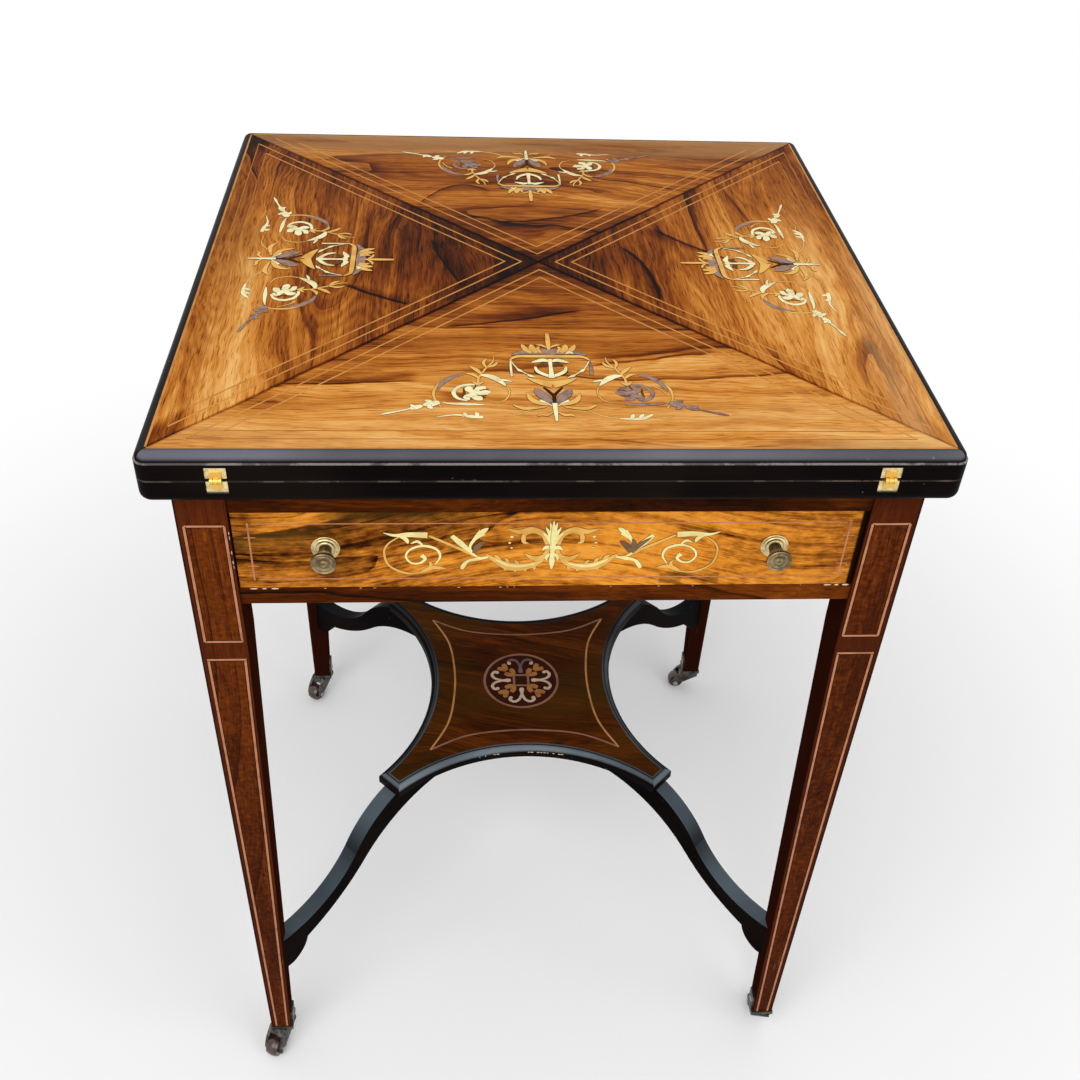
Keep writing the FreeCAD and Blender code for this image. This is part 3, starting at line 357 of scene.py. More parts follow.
def let_in(inlay, wood, material, piece_name, body, places, width_added=0.0, first=0.0):
    """Makes the inlay's strips of one wood solid at each place, and rides them on a body."""
    spots, edges, halves, prouds = [], [], [], []
    for order, (kind, path, widths) in enumerate(inlay.strips):
        if wood not in (kind, "all"):
            continue
        edges += [(len(spots) + i, len(spots) + i + 1) for i in range(len(path) - 1)]
        spots += [p * millimetre for p in path]
        halves += [max(w * millimetre + width_added, thinnest_half) for w in widths]
        prouds += [strip_proud + strip_step * order + first] * len(path)
    mesh = bpy.data.meshes.new(piece_name)
    mesh.from_pydata(spots, edges, [])
    for name, values in zip(strip_values, (halves, prouds)):
        mesh.attributes.new(name, "FLOAT", "POINT").data.foreach_set("value", values)
    piece = in_scene(piece_name, mesh)
    as_plain_mesh(piece, strip_tree, Sunk=strip_sunk, Wood=material)
    whole = bmesh.new()
    for place in places:
        copy = piece.data.copy()
        copy.transform(place)
        whole.from_mesh(copy)
        bpy.data.meshes.remove(copy)
    bmesh.ops.recalc_face_normals(whole, faces=whole.faces)
    for face in whole.faces:
        face.smooth = False
    whole.to_mesh(piece.data)
    whole.free()
    for name in strip_values:
        piece.data.attributes.remove(piece.data.attributes[name])
    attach(piece, body)


sides = ("front", "right", "back", "left")


def wall(side, distance):
    """Stands a drawing upright on one side of the table, so far out from its middle."""
    upright = Matrix(((1, 0, 0, 0), (0, 0, -1, -distance), (0, 1, 0, 0), (0, 0, 0, 1)))
    return Matrix.Rotation(math.radians(90 * sides.index(side)), 4, "Z") @ upright


def inlay_wood(name, light, deep, ply=900.0, patches=1.0):
    """A pale veneer with a fine grain and the old polish yellowed unevenly over it."""
    material, shader, place = new_finish(name, {"Roughness": 0.4, "Specular IOR Level": 0.02})
    grain = place.cloud(220.0, ply, 3.0, 0.6)
    stain = place.cloud(55.0 * patches, 70.0 * patches, 2.0)
    colour = (grain.rise(0.42, 0.75) * 0.4).blend(light, deep)
    colour = (stain.rise(0.46, 0.68) * 0.55).blend(colour, deep)
    feed(shader, base_color=colour)
    return material


boxwood = inlay_wood("boxwood_line", (0.58, 0.24, 0.12), (0.34, 0.12, 0.05))
glue = inlay_wood("dark_glue_line", (0.02, 0.008, 0.005), (0.01, 0.004, 0.003))
leg_line = 1.8
glue_wide = 0.0006
leg_lines = Inlay()
for way in (-1, 1):
    far, near, near_foot = way * line_far, way * line_near, way * line_near_foot
    over = way * leg_line / 2
    panel = [(far, panel_high), (near, panel_high), (near, panel_low), (far, panel_low)]
    leg_lines.frame("boxwood", panel, leg_line)
    leg_lines.line("boxwood", [(far, long_high), (far, long_low)], leg_line)
    leg_lines.line("boxwood", [(near, long_high), (near_foot, long_low)], leg_line)
    leg_lines.line("boxwood", [(far + over, long_high), (near - over, long_high)], leg_line)
leg_faces = [wall(side, leg_outer) for side in sides]
let_in(leg_lines, "boxwood", glue, "leg_stringing_glue", "frame", leg_faces, glue_wide)
let_in(leg_lines, "boxwood", boxwood, "leg_stringing", "frame", leg_faces, 0.0, strip_step / 2)


# Frieze rails. Rosewood veneered rails are jointed between the legs at the sides and the back, with a panel
# of boxwood line like the one on the legs. Narrow rails run above and below the drawer, the upper one
# painted nearly black as the shade under the overhang of the top. The edges beside the drawer are chipped to
# the pale ground.
grain_along, grain_across = (0.0, 0.0, 0.0), (0.0, 0.0, math.radians(90))
for node_name, lift, turn, shift in (
    ("back_rail", 0.32, grain_along, (0.3, 0.0, 0.0)),
    ("side_rail_left", 0.32, grain_across, (1.7, 0.4, 0.0)),
    ("side_rail_right", 0.32, grain_across, (3.1, 0.0, 0.6)),
    # The upper rail's low lift is painted shade from the overhang of the top.
    ("drawer_top_rail", 0.19, grain_along, (4.3, 0.2, 0.0)),
    ("drawer_bottom_rail", 0.34, grain_along, (5.9, 0.1, 0.3)),
):
    rail_wood, shader, place = new_finish(node_name + "_rosewood", polish)
    colour, height = rosewood_figure(place.turned(turn, shift), lift, 0.6)
    feed(shader, base_color=colour, normal=height.relief(0.00012))
    dress(rail_wood, node_name)

reach, high, low = 214, 700, 631
rail_lines = Inlay()
rail_lines.frame("boxwood", [(-reach, high), (reach, high), (reach, low), (-reach, low)], leg_line)
rail_faces = [wall(side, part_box("back_rail")[1].y) for side in sides[1:]]
let_in(rail_lines, "boxwood", boxwood, "frieze_stringing", "frame", rail_faces)

chip_tree, given = new_tree(
    "edge_chips",
    Lines="Geometry",
    Spacing="Float",
    Share="Float",
    Smallest="Vector",
    Largest="Vector",
    Seed="Int",
    Wood="Material",
)
edge = given["Lines"].node("GeometryNodeMeshToCurve", {}, {"Mesh": given["Lines"]})
spots = {"Curve": edge, "Length": given["Spacing"]}
spots = edge.node("GeometryNodeCurveToPoints", {"mode": "LENGTH"}, spots)
chosen = {"Probability": given["Share"], "Seed": given["Seed"]}
chosen = spots.node("FunctionNodeRandomValue", {"data_type": "BOOLEAN"}, chosen, 3)
size = {"Min": given["Smallest"], "Max": given["Largest"], "Seed": given["Seed"]}
size = spots.node("FunctionNodeRandomValue", {"data_type": "FLOAT_VECTOR"}, size)
chip = spots.node("GeometryNodeMeshIcoSphere", {}, {"Radius": 1.0, "Subdivisions": 2})
placed = {"Points": spots, "Selection": chosen, "Instance": chip, "Scale": size}
end_tree(chip_tree, spots.node("GeometryNodeInstanceOnPoints", {}, placed), given["Wood"])
bare_wood = inlay_wood("bare_chipped_wood", (0.78, 0.6, 0.44), (0.5, 0.34, 0.22))


def chipped(piece_name, edges, spacing, share, smallest, largest, seed):
    """Pale chips along edges of the frame, each edge given by its ends, with half sizes in metres."""
    mesh = bpy.data.meshes.new(piece_name)
    ends = [spot for pair in edges for spot in pair]
    mesh.from_pydata(ends, [(i, i + 1) for i in range(0, len(ends), 2)], [])
    piece = in_scene(piece_name, mesh)
    sizes = {"Spacing": spacing, "Share": share, "Smallest": smallest, "Largest": largest}
    as_plain_mesh(piece, chip_tree, Seed=seed, Wood=bare_wood, **sizes)
    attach(piece, "frame")


rail_low, rail_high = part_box("drawer_bottom_rail")
rail_face, rail_arris = rail_low.y, rail_high.z - 0.0009
for piece_name, stretches, spacing, share, smallest, largest, seed in (
    (
        "rail_end_chips", ((-0.2125, -0.1975), (0.205, 0.2185)),
        0.006, 1.0, (0.0016, 0.00025, 0.0005), (0.0032, 0.0004, 0.0008), 4,
    ),
    ("rail_chips", ((-0.192, 0.2),), 0.005, 0.22, (0.0004, 0.0001, 0.00015), (0.0014, 0.0002, 0.00032), 7),
):
    edges = [[(x, rail_face, rail_arris) for x in ends] for ends in stretches]
    chipped(piece_name, edges, spacing, share, smallest, largest, seed)
leg_low, leg_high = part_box("leg_front_left")
leg_edge = [(leg_high.x - 0.0006, leg_low.y, z) for z in (0.646, 0.694)]
chipped("leg_chips", [leg_edge], 0.0042, 0.6, (0.0002, 0.00015, 0.0006), (0.0005, 0.0003, 0.0021), 3)


# Runners, pivot board and slip pads. Plain oiled wood inside the frieze: the drawer slides on the
# runners, the top turns on the pivot board, and leather pads on the frieze let it turn without a scratch.
def plain_wood(name, node_name, turn, shift):
    """Dresses a node in lining wood, its grain turned to run along the board."""
    material, shader, place = new_finish(name, {"Roughness": 0.62, "Specular IOR Level": 0.3})
    pale, deep = (0.36, 0.2, 0.09), (0.2, 0.095, 0.035)
    log = place.turned(turn, shift)
    rings = log.cloud(1.6, 70.0, 3.0, 0.6)
    fibres = log.cloud(14.0, 900.0, 3.0, 0.6)
    colour = rings.rise(0.36, 0.66).blend(pale, deep)
    colour = (fibres.rise(0.5, 0.75) * 0.5).blend(colour, deep)
    feed(shader, base_color=colour, normal=fibres.relief(0.00015))
    dress(material, node_name)


plain_wood("runner_wood", "drawer_runners", grain_across, (0.2, 0.5, 0.1))
plain_wood("pivot_wood", "pivot_board", grain_along, (0.9, 0.1, 0.4))

leather, shader, place = new_finish("pad_leather", {"Roughness": 0.7})
pebble = place.node("ShaderNodeTexVoronoi", {}, {"Vector": place, "Scale": 1200.0}, "Distance")
colour = place.cloud(60.0, 60.0, 3.0).rise(0.3, 0.7).blend((0.16, 0.07, 0.03), (0.09, 0.04, 0.018))
feed(shader, base_color=colour, normal=pebble.relief(0.0002))
dress(leather, "slip_pads")


# Stretchers. Two serpentine pieces of ebonised beech cross under the shelf and are tenoned into the legs.
# The black stain and polish are rubbed through to the brown wood in spots; the cool grey sheen on their
# upper faces is a painted highlight, taken mostly off the back half as painted shade.
def ebonised(name, painted_highlight, lit=(0, 0, 1), worn_levels=(), worn_tone=(0, 0, 0), painted_back_shade=0.0, gloss=0.015):
    """Black polish with a painted grey highlight on the faces that look towards lit, in place of the light's
    reflection. The painted back shade takes that painted highlight off the back half, and each worn level is
    the height of an edge that is rubbed through to the worn tone."""
    material, shader, place = new_finish(name, {"Specular IOR Level": gloss})
    grain = place.cloud(12.0, 500.0, 3.0, 0.6)
    smears = place.cloud(9.0, 14.0, 3.0)
    rubs = place.cloud(120.0, 160.0, 3.0, 0.6)
    # How far each face looks towards lit sets where the painted highlight falls.
    facing = Wire(place.socket.node.outputs["Normal"])
    facing = facing.node("ShaderNodeVectorMath", {"operation": "DOT_PRODUCT"}, {0: facing, 1: lit}, "Value")
    colour = smears.rise(0.35, 0.7).blend((0.003, 0.002, 0.002), (0.008, 0.005, 0.004))
    colour = (grain.rise(0.55, 0.75) * 0.3).blend(colour, (0.014, 0.009, 0.007))
    painted_sheen = facing.rise(0.62, 0.96) * (0.6 + smears.rise(0.3, 0.7) * 0.4)
    colour = (painted_sheen * (1.0 - place.axis("Y").rise(0.0, 0.08) * painted_back_shade)).blend(colour, painted_highlight)
    colour = rubs.rise(0.71, 0.76).blend(colour, (0.2, 0.17, 0.16))
    for level, reach, cover in worn_levels:
        near = 1.0 - (place.axis("Z") - level).size().rise(reach * 0.6, reach)
        broken = place.cloud(30.0, 30.0, 4.0, 0.7).rise(0.62 - cover, 0.74 - cover)
        colour = (near * broken.larger(max(cover, 0.0) * 1.5)).blend(colour, worn_tone)
    feed(
        shader,
        base_color=colour,
        roughness=0.3 + smears.rise(0.3, 0.75) * 0.16 + rubs.rise(0.62, 0.76) * 0.2,
        normal=grain.relief(0.00006),
    )
    return material


# Stretchers: a blue-grey painted highlight on the faces towards the light, mostly taken off the back half as
# painted shade.
stretcher_light = (0, -0.3, 0.954)
stretcher_black = ebonised("stretcher_ebonised", (0.1, 0.13, 0.155), stretcher_light, painted_back_shade=0.88, gloss=0.004)
dress(stretcher_black, "stretcher_rising", "stretcher_falling")


# Undershelf. A veneered board with hollow sides sits on the stretchers, its tips cut square, with an
# ebonised half-round moulding glued round it, chipped at the front. Gold and tulipwood lines follow the
# edge, and a round patera of bone, amboyna and purple wood is let into the middle.
shelf_wood, shader, place = new_finish("shelf_rosewood", polish)
log = place.turned((0, 0, math.radians(12)), (2.2, 1.3, 0.4))
colour, height = rosewood_figure(log, 0.21, 0.7)
olive = place.cloud(5.0, 9.0, 2.0).rise(0.35, 0.65)
colour = (olive * 0.6).blend(colour, (0.075, 0.032, 0.004))
feed(shader, base_color=colour, normal=height.relief(0.0001))
dress(shelf_wood, "undershelf")
# Painted blue-grey highlight on the bead where it faces up and forward, taken off the back as painted shade.
shelf_black = ebonised("shelf_moulding_ebonised", (0.2, 0.24, 0.27), (0.2, -0.6, 0.775), painted_back_shade=0.75)
dress(shelf_black, "undershelf_moulding")


def ring(radius, count=48):
    angles = [2 * math.pi * k / count for k in range(count + 1)]
    return [(radius * math.cos(angle), radius * math.sin(angle)) for angle in angles]


def spun(points, angle):
    turn = Matrix.Rotation(math.radians(angle), 2)
    return [tuple(turn @ Vector(p)) for p in points]


shelf_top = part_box("undershelf")[1].z
shelf_inlay = Inlay()
side_line = [(-95.5, -95.5), (-60.0, -78.0), (-20.0, -71.5), (20.0, -71.5), (60.0, -78.0), (95.5, -95.5)]
for quarter in range(4):
    shelf_inlay.strip("gold" if quarter % 2 else "line", spun(side_line, 90 * quarter), (2.0, 2.0))
for radius in range(3, 40, 5):
    shelf_inlay.line("ground", ring(radius), 5.4)
shelf_inlay.line("line", ring(39.2), 2.7)
shelf_inlay.frame("line", [(-7.6, -7.6), (7.6, -7.6), (7.6, 7.6), (-7.6, 7.6)], 2.4)
for quarter in range(4):
    arm = "purple" if quarter == 2 else "bone"
    shaft = spun([(0, -11), (0, -14), (0, -18), (0, -24)], 90 * quarter)
    shelf_inlay.strip(arm, shaft, (3.0, 5.4, 3.6, 2.6))
    for way in (-1, 1):
        for wood, points, widths, turn in (
            (arm, [(0.4, -21), (3.2, -28), (8.2, -31), (12.6, -28.5), (11.8, -25)], (2.6, 3.0, 3.2, 3.4), 0),
            ("bone", [(13.4, -27.6), (12.0, -25.6), (10.2, -24.4)], (2.2, 4.4, 2.2), 0),
            ("leaf", [(0.6, -11), (3.0, -15), (4.6, -20)], (2.2, 5.0, 6.0, 3.6), 45),
            ("leaf", [(0.6, -21), (2.4, -26), (4.6, -30.5)], (2.4, 4.4, 5.8, 3.4), 45),
        ):
            points = [(way * x, y) for x, y in points]
            shelf_inlay.strip(wood, spun(points, 90 * quarter + turn), widths)
shelf_woods = {
    "gold": inlay_wood("shelf_gold_line", (0.52, 0.24, 0.085), (0.34, 0.135, 0.04)),
    "ground": inlay_wood("patera_redwood", (0.04, 0.009, 0.004), (0.02, 0.006, 0.003), 300.0),
    "line": inlay_wood("patera_tulipwood", (0.3, 0.14, 0.085), (0.18, 0.075, 0.04)),
    "bone": inlay_wood("patera_bone_inlay", (0.64, 0.47, 0.34), (0.38, 0.25, 0.16), 500.0),
    "purple": inlay_wood("patera_purplewood", (0.2, 0.115, 0.1), (0.1, 0.055, 0.05)),
    "leaf": inlay_wood("patera_amboyna", (0.42, 0.17, 0.05), (0.24, 0.08, 0.025)),
}
shelf_face = [Matrix.Translation((0, 0, shelf_top))]
for wood, material in shelf_woods.items():
    let_in(shelf_inlay, wood, material, "shelf_inlay_" + wood, "frame", shelf_face)

hollow_radius, hollow_middle = 0.1825, 0.2785
chip_level = shelf_top - 0.0054
chipped_stretches = []
for start, stop in ((-0.046, -0.04), (-0.031, -0.024), (0.004, 0.02), (0.02, 0.038)):
    ends = [(x, math.sqrt(hollow_radius ** 2 - x ** 2) - hollow_middle, chip_level) for x in (start, stop)]
    chipped_stretches.append(ends)
chip_sizes = (0.0005, 0.0003, 0.0003), (0.002, 0.0006, 0.0006)
chipped("shelf_moulding_chips", chipped_stretches, 0.003, 0.65, *chip_sizes, 5)


# Castors. A cast plate is screwed under each foot, and a horn swivels in it, with a dull brass skin gone
# nearly grey. The small wheel is brown glazed ware on a steel axle. The screws are plain steel.
def old_metal(name, bright, tarnish, roughness, spots=140.0, tinged=None, tinge=(0, 0, 0)):
    """Metal with spots of tarnish. Tinged, where given, says from the place how far the tinge covers it."""
    material, shader, place = new_finish(name, {"Metallic": 1.0})
    patches = place.cloud(spots, spots, 4.0, 0.6)
    fine = place.cloud(spots * 9, spots * 9, 2.0)
    colour = patches.rise(0.38, 0.66).blend(bright, tarnish)
    if tinged:
        colour = tinged(place).blend(colour, tinge)
    feed(
        shader,
        base_color=colour,
        roughness=roughness + patches.rise(0.35, 0.7) * 0.22,
        normal=fine.relief(0.00004),
    )
    return material


castor_brass = old_metal("castor_brass_dull", (0.12, 0.11, 0.095), (0.035, 0.032, 0.03), 0.4)
steel = old_metal("plain_steel", (0.5, 0.49, 0.47), (0.28, 0.27, 0.26), 0.3)
castor_glaze, shader, place = new_finish("castor_brown_glaze", {"Roughness": 0.22, "Coat Weight": 0.3})
colour = place.cloud(220.0, 220.0, 3.0).rise(0.35, 0.65).blend((0.075, 0.03, 0.018), (0.03, 0.013, 0.009))
feed(shader, base_color=colour)
dress(castor_brass, "castor_plates")
for corner in leg_painted_shade:
    dress(castor_brass, "castor_horn_" + corner)
    dress(steel, "castor_axle_" + corner)
    dress(castor_glaze, "castor_wheel_" + corner)
dress(steel, "frame_screws")


# Drawer. The front is veneered with a bright, strongly figured piece of rosewood, smoked dark towards the
# left, with thin boxwood lines near its edges and a scrolling spray of bone and satinwood let into it.
# The box behind is plain oiled wood.
amber_tones = (
    (0.0, (0.012, 0.004, 0.001)),
    (0.2, (0.070, 0.017, 0.002)),
    (0.4, (0.220, 0.064, 0.006)),
    (0.6, (0.460, 0.150, 0.015)),
    (0.8, (0.750, 0.262, 0.025)),
    (1.0, (0.890, 0.360, 0.045)),
)
drawer_wood, shader, place = new_finish("drawer_rosewood", polish)
across = place.axis("X")
upwards = place.axis("Z")
wave = across * 16.0 + 4.74
lean = wave.node("ShaderNodeCombineXYZ", {}, {"Z": wave.math("SINE", wave) * 0.018})
log = place.moved(lean).turned(shift=(0.55, 0.2, 0.71))
mottle = place.cloud(34.0, 60.0, 3.0, 0.6) - 0.5
below = 0.676 + (across + 0.22) * 0.2 + mottle * 0.008 - upwards
left_end = 1.0 - across.rise(-0.17, -0.1)
ember = (1.0 - below.rise(-0.001, 0.0005)) * left_end * across.rise(-0.213, -0.192)
streak = log.cloud(6.0, 170.0, 3.0, 0.6).rise(0.5, 0.7)
curl = place.cloud(110.0, 200.0, 3.0, 0.6) - 0.5
smoked = upwards.rise(0.652, 0.684) * across.rise(-0.22, -0.14) * (1.0 - across.rise(0.0, 0.075))
lift = 0.5 + across.rise(-0.21, -0.17) * 0.12 + across.rise(-0.13, 0.0) * 0.34
lift = lift - across.rise(0.06, 0.13) * 0.18 - smoked * 0.28
lift = lift + ember * 0.34 + mottle * 0.45 + curl * 0.75 - streak * 0.34
colour, height = rosewood_figure(log, lift, 1.1, amber_tones)
smoke = below.rise(-0.0004, 0.0008) * (1.0 - below.rise(0.003, 0.024)) * left_end
smoke = smoke * (0.35 + log.cloud(9.0, 120.0, 3.0, 0.6).rise(0.3, 0.6) * 0.6)
soot = upwards.rise(0.685, 0.696) * across.rise(-0.17, -0.14) * (1.0 - across.rise(-0.1, -0.03))
patches = place.cloud(16.0, 34.0, 3.0).rise(0.56, 0.7) * (1.0 - across.rise(0.04, 0.12))
smoke = smoke.larger((soot * 0.75).larger(patches * 0.6))
for middle, half_wide in ((0.087, 0.007), (0.117, 0.0045)):
    stain = 1.0 - (across - middle).size().rise(half_wide, half_wide + 0.002)
    stain = stain * (1.0 - (upwards - 0.6355).size().rise(0.004, 0.0055)) * 0.45
    smoke = smoke.larger(stain)
colour = smoke.blend(colour, (0.06, 0.03, 0.006))
reddened = across.rise(0.18, 0.214) * (0.2 + place.cloud(120.0, 260.0, 3.0, 0.65).rise(0.4, 0.6) * 0.5)
colour = reddened.blend(colour, (0.17, 0.04, 0.007))
drawer_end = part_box("drawer_front")[1].x
# Painted shade: the last few millimetres of the right end are made nearly black, as the gap beside the leg
# is in shadow.
colour = across.rise(drawer_end - 0.0046, drawer_end - 0.0026).blend(colour, (0.008, 0.003, 0.001))
feed(shader, base_color=colour, normal=height.relief(0.0001))
dress(drawer_wood, "drawer_front")
for node_name, turn, shift in (
    ("drawer_sides", grain_across, (0.0, 0.2, 0.6)),
    ("drawer_back", grain_along, (0.7, 0.2, 0.3)),
    ("drawer_bottom", grain_along, (1.4, 0.6, 0.0)),
):
    plain_wood(node_name + "_wood", node_name, turn, shift)

drawer_inlay = Inlay()
for level in (687, 637):
    drawer_inlay.line("boxwood", [(-208, level), (208, level)], 0.9)
for end in (-211, 211):
    drawer_inlay.line("boxwood", [(end, 636), (end, 688)], 1.2)
    for level in (682, 675, 649, 641):
        drawer_inlay.line("boxwood", [(end - 3.5, level), (end + 4.5, level)], 0.7)


def on_half(*row):
    drawer_inlay.draw(*row, ways=(way,))


for way in (-1, 1):
    on_half("satin", [(51.7, 656), (66, 664.5), (87, 676)], (2.0, 2.6, 2.2, 1.6))
    outer = [(108, 675), (115.5, 669), (118.6, 661), (115.5, 649), (104, 642), (93, 642.6), (86, 646)]
    on_half("satin", outer, (1.0, 1.4, 1.7, 1.7, 1.6, 2.2))
    on_half("satin", [(93, 643), (85, 647), (75, 645.8)], 3.6, 0.5)
    on_half("satin", [(89, 644.5), (86, 649.5), (87.5, 653)], 2.4, 0.5)
    inner = [(83, 650), (79.4, 657), (82, 664), (91, 667), (100, 664), (103.5, 657.5), (100, 651.5)]
    inner += [(94, 651.2), (90, 655), (92.5, 658.5)]
    on_half("bone", inner, (0.9, 2.0, 2.2, 1.8, 1.6, 1.6, 2.0, 3.6))
    on_half("bone", [(91, 667), (95, 671), (100, 669)], 2.4)
    on_half("bone", [(118.5, 679), (111, 676.6), (101, 677.2), (88, 676.6)], (0.4, 2.4, 4.2, 5.2))
    on_half("bone", [(107, 676), (103, 673), (101.5, 669)], 3.4, 0.8)
    hook = [(44, 657), (52, 655), (59.5, 653), (63, 648.5), (64, 645.5)]
    on_half("bone", hook, (1.4, 3.0, 2.4, 3.4, 2.2))
    on_half("bone", [(54, 657), (62, 666), (71, 676)], (1.2, 2.6, 4.6, 3.0))
    on_half("bone", [(54, 657), (58.4, 665), (55, 673), (49.6, 679)], (1.2, 1.8, 2.6, 6.4))
    on_half("bone", [(52.5, 676), (49, 680), (45.5, 683)], 4.0, 0.9)
    on_half("smoky", [(56, 660), (53, 666), (47.5, 671)], 4.4, 0.4)
    if way == 1:
        on_half("smoky", [(57, 660), (63, 668), (70, 674)], 3.6, 0.4)
        on_half("smoky", [(55, 660), (58, 667), (56, 673)], 3.6, 0.4)
    body_line = [(6, 653.5), (13, 649.5), (22, 647), (31, 648), (39, 652.5), (47, 659)]
    on_half("satin", body_line, (1.8, 4.8, 6.8, 7.2, 5.0, 1.2))
    for root, tip in (
        ((14, 649), (12, 644.5)), ((20, 647), (19, 642.8)), ((26, 646.5), (26.5, 642.4)),
        ((32, 648), (34, 644)), ((24, 649), (27, 653.5)), ((31, 651), (34, 656)), ((37, 654), (41.5, 658.5)),
    ):
        middle = ((root[0] + tip[0]) / 2 - 0.6, (root[1] + tip[1]) / 2)
        on_half("satin", [root, middle, tip], 2.8, 0.9)
    on_half("bone", [(12, 650), (22, 648), (31, 649), (40, 654)], (0.8, 2.4, 2.4, 0.8))
    on_half("satin", [(3, 664), (6, 656.5), (13, 655), (20, 660)], 5.0, 0.5)
    on_half("satin", [(4, 668), (7, 677), (15, 681), (24, 679.5), (33, 682.5)], 5.4, 0.5)
    on_half("satin", [(14, 680), (20, 677), (20.5, 670.5), (17, 669)], 3.4, 0.9)
    for reach, spread in ((21, 2.6), (17, 5.6), (11.5, 7.4)):
        on_half("bone", [(0.8, 666), (spread * 0.42, 667 + reach * 0.55), (spread, 667 + reach)], 2.6, 0.5)
    on_half("bone", [(0.5, 664), (4, 665.5), (7.5, 662.5)], 3.2, 0.8)
    on_half("bone", [(0.5, 660), (3.5, 657), (4.2, 653)], 2.4, 0.7)
    for x, z, wide in ((29, 675, 2.2), (30.5, 669.5, 1.8), (29, 665, 1.5)):
        on_half("bone", [(x - wide / 2, z), (x, z), (x + wide / 2, z)], (wide * 0.5, wide, wide * 0.5))
drawer_inlay.draw("bone", [(0, 664), (0, 676), (0, 690)], 3.2, 0.6, ways=(1,))
drawer_inlay.draw("bone", [(0, 645.5), (0, 652), (0, 660), (0, 667)], (1.2, 4.2, 3.0, 4.6), ways=(1,))
drawer_face = [wall("front", -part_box("drawer_front")[0].y)]
satinwood = inlay_wood("satinwood_inlay", (0.86, 0.5, 0.13), (0.6, 0.27, 0.05))
mastic = inlay_wood("dark_mastic", (0.035, 0.014, 0.006), (0.015, 0.007, 0.004))
drawer_woods = {
    "boxwood": boxwood,
    "satin": satinwood,
    "bone": inlay_wood("cream_bone_inlay", (0.95, 0.86, 0.38), (0.7, 0.5, 0.16), 500.0),
    "smoky": inlay_wood("smoky_holly_inlay", (0.24, 0.14, 0.08), (0.13, 0.07, 0.035)),
}
for wood, material in drawer_woods.items():
    let_in(drawer_inlay, wood, material, "drawer_inlay_" + wood, "drawer", drawer_face, 0.0, strip_step / 2)
drawer_inlay.strips = [s for s in drawer_inlay.strips if s[0] != "boxwood"]
let_in(drawer_inlay, "all", mastic, "drawer_inlay_mastic", "drawer", drawer_face, outline_wide)


# Knobs. Two turned brass knobs, browned with age and ringed on the face, each screwed through the drawer
# front over a stamped brass rose that has stayed brighter.
rose_low, rose_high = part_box("knob_roses")
rose_radius = (rose_high.z - rose_low.z) / 2
knob_level = (rose_high.z + rose_low.z) / 2
knob_centres = [
    Vector((x, rose_high.y, knob_level)) for x in (rose_low.x + rose_radius, rose_high.x - rose_radius)
]


def stand_in(shape, piece_name, material, body, node_name):
    """Makes a drawn shape a piece that rides on a body and replaces a node."""
    mesh = bpy.data.meshes.new(piece_name)
    shape.to_mesh(mesh)
    shape.free()
    mesh.materials.append(material)
    piece = in_scene(piece_name, mesh)
    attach(piece, body)
    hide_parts(node_name)
    return piece


def turned_piece(piece_name, node_name, outline, material, around=64):
    """Lathe work in place of a node: the outline gives radius and distance out from the drawer, in mm."""
    shape = bmesh.new()
    for centre in knob_centres:
        rings = []
        for radius, out in outline:
            ring_spots = []
            for k in range(around if radius else 1):
                angle = 2 * math.pi * k / around
                spot = (radius * math.cos(angle), -out, radius * math.sin(angle))
                ring_spots.append(shape.verts.new(centre + Vector(spot) * millimetre))
            rings.append(ring_spots)
        for inner, outer in zip(rings, rings[1:]):
            for k in range(around):
                corner_spots = [inner[k % len(inner)], inner[(k + 1) % len(inner)]]
                corner_spots += [outer[(k + 1) % len(outer)], outer[k % len(outer)]]
                face = shape.faces.new(list(dict.fromkeys(corner_spots)))
                face.smooth = True
    bmesh.ops.recalc_face_normals(shape, faces=shape.faces)
    stand_in(shape, piece_name, material, "drawer", node_name)


# Painted shade on the knob's neck, the part near the drawer behind its face.
def behind_face(place):
    return (place.axis("Y") - rose_high.y).rise(-0.0136, -0.0086) * 0.8


knob_outline = (
    (0, 0.4), (4.2, 0.4), (4.6, 2.4), (4.5, 3.6), (4.7, 5.5), (5.1, 8.0), (5.7, 10.4), (6.8, 12.8),
    (8.1, 14.6), (8.9, 16.0), (9.1, 17.2), (8.9, 18.2), (8.4, 18.7), (7.9, 18.6), (7.5, 18.1), (6.9, 18.1),
    (6.4, 18.6), (5.6, 19.0), (4.8, 18.9), (4.3, 18.4), (3.7, 18.3), (3.1, 18.7), (2.5, 19.3), (1.8, 19.7),
    (1.2, 19.6), (0.8, 19.1), (0, 19.0),
)
rose_outline = (
    (0, 0.0), (10.2, 0.0), (10.4, 0.5), (10.1, 1.3), (9.5, 1.7), (8.9, 1.5), (8.6, 1.3), (8.2, 1.7),
    (7.6, 2.2), (7.0, 2.2), (6.5, 1.8), (6.1, 1.6), (5.6, 1.9), (5.0, 2.4), (4.2, 2.4), (0, 2.4),
)
browned, painted_neck_shade = ((0.36, 0.27, 0.14), (0.12, 0.085, 0.045)), (0.03, 0.024, 0.016)
knob_brass = old_metal("knob_brass_browned", *browned, 0.24, 90.0, behind_face, painted_neck_shade)
rose_brass = old_metal("rose_brass_bright", (0.72, 0.58, 0.3), (0.45, 0.33, 0.15), 0.24, 120.0)
turned_piece("brass_knobs", "drawer_knobs", knob_outline, knob_brass)
turned_piece("brass_roses", "knob_roses", rose_outline, rose_brass)


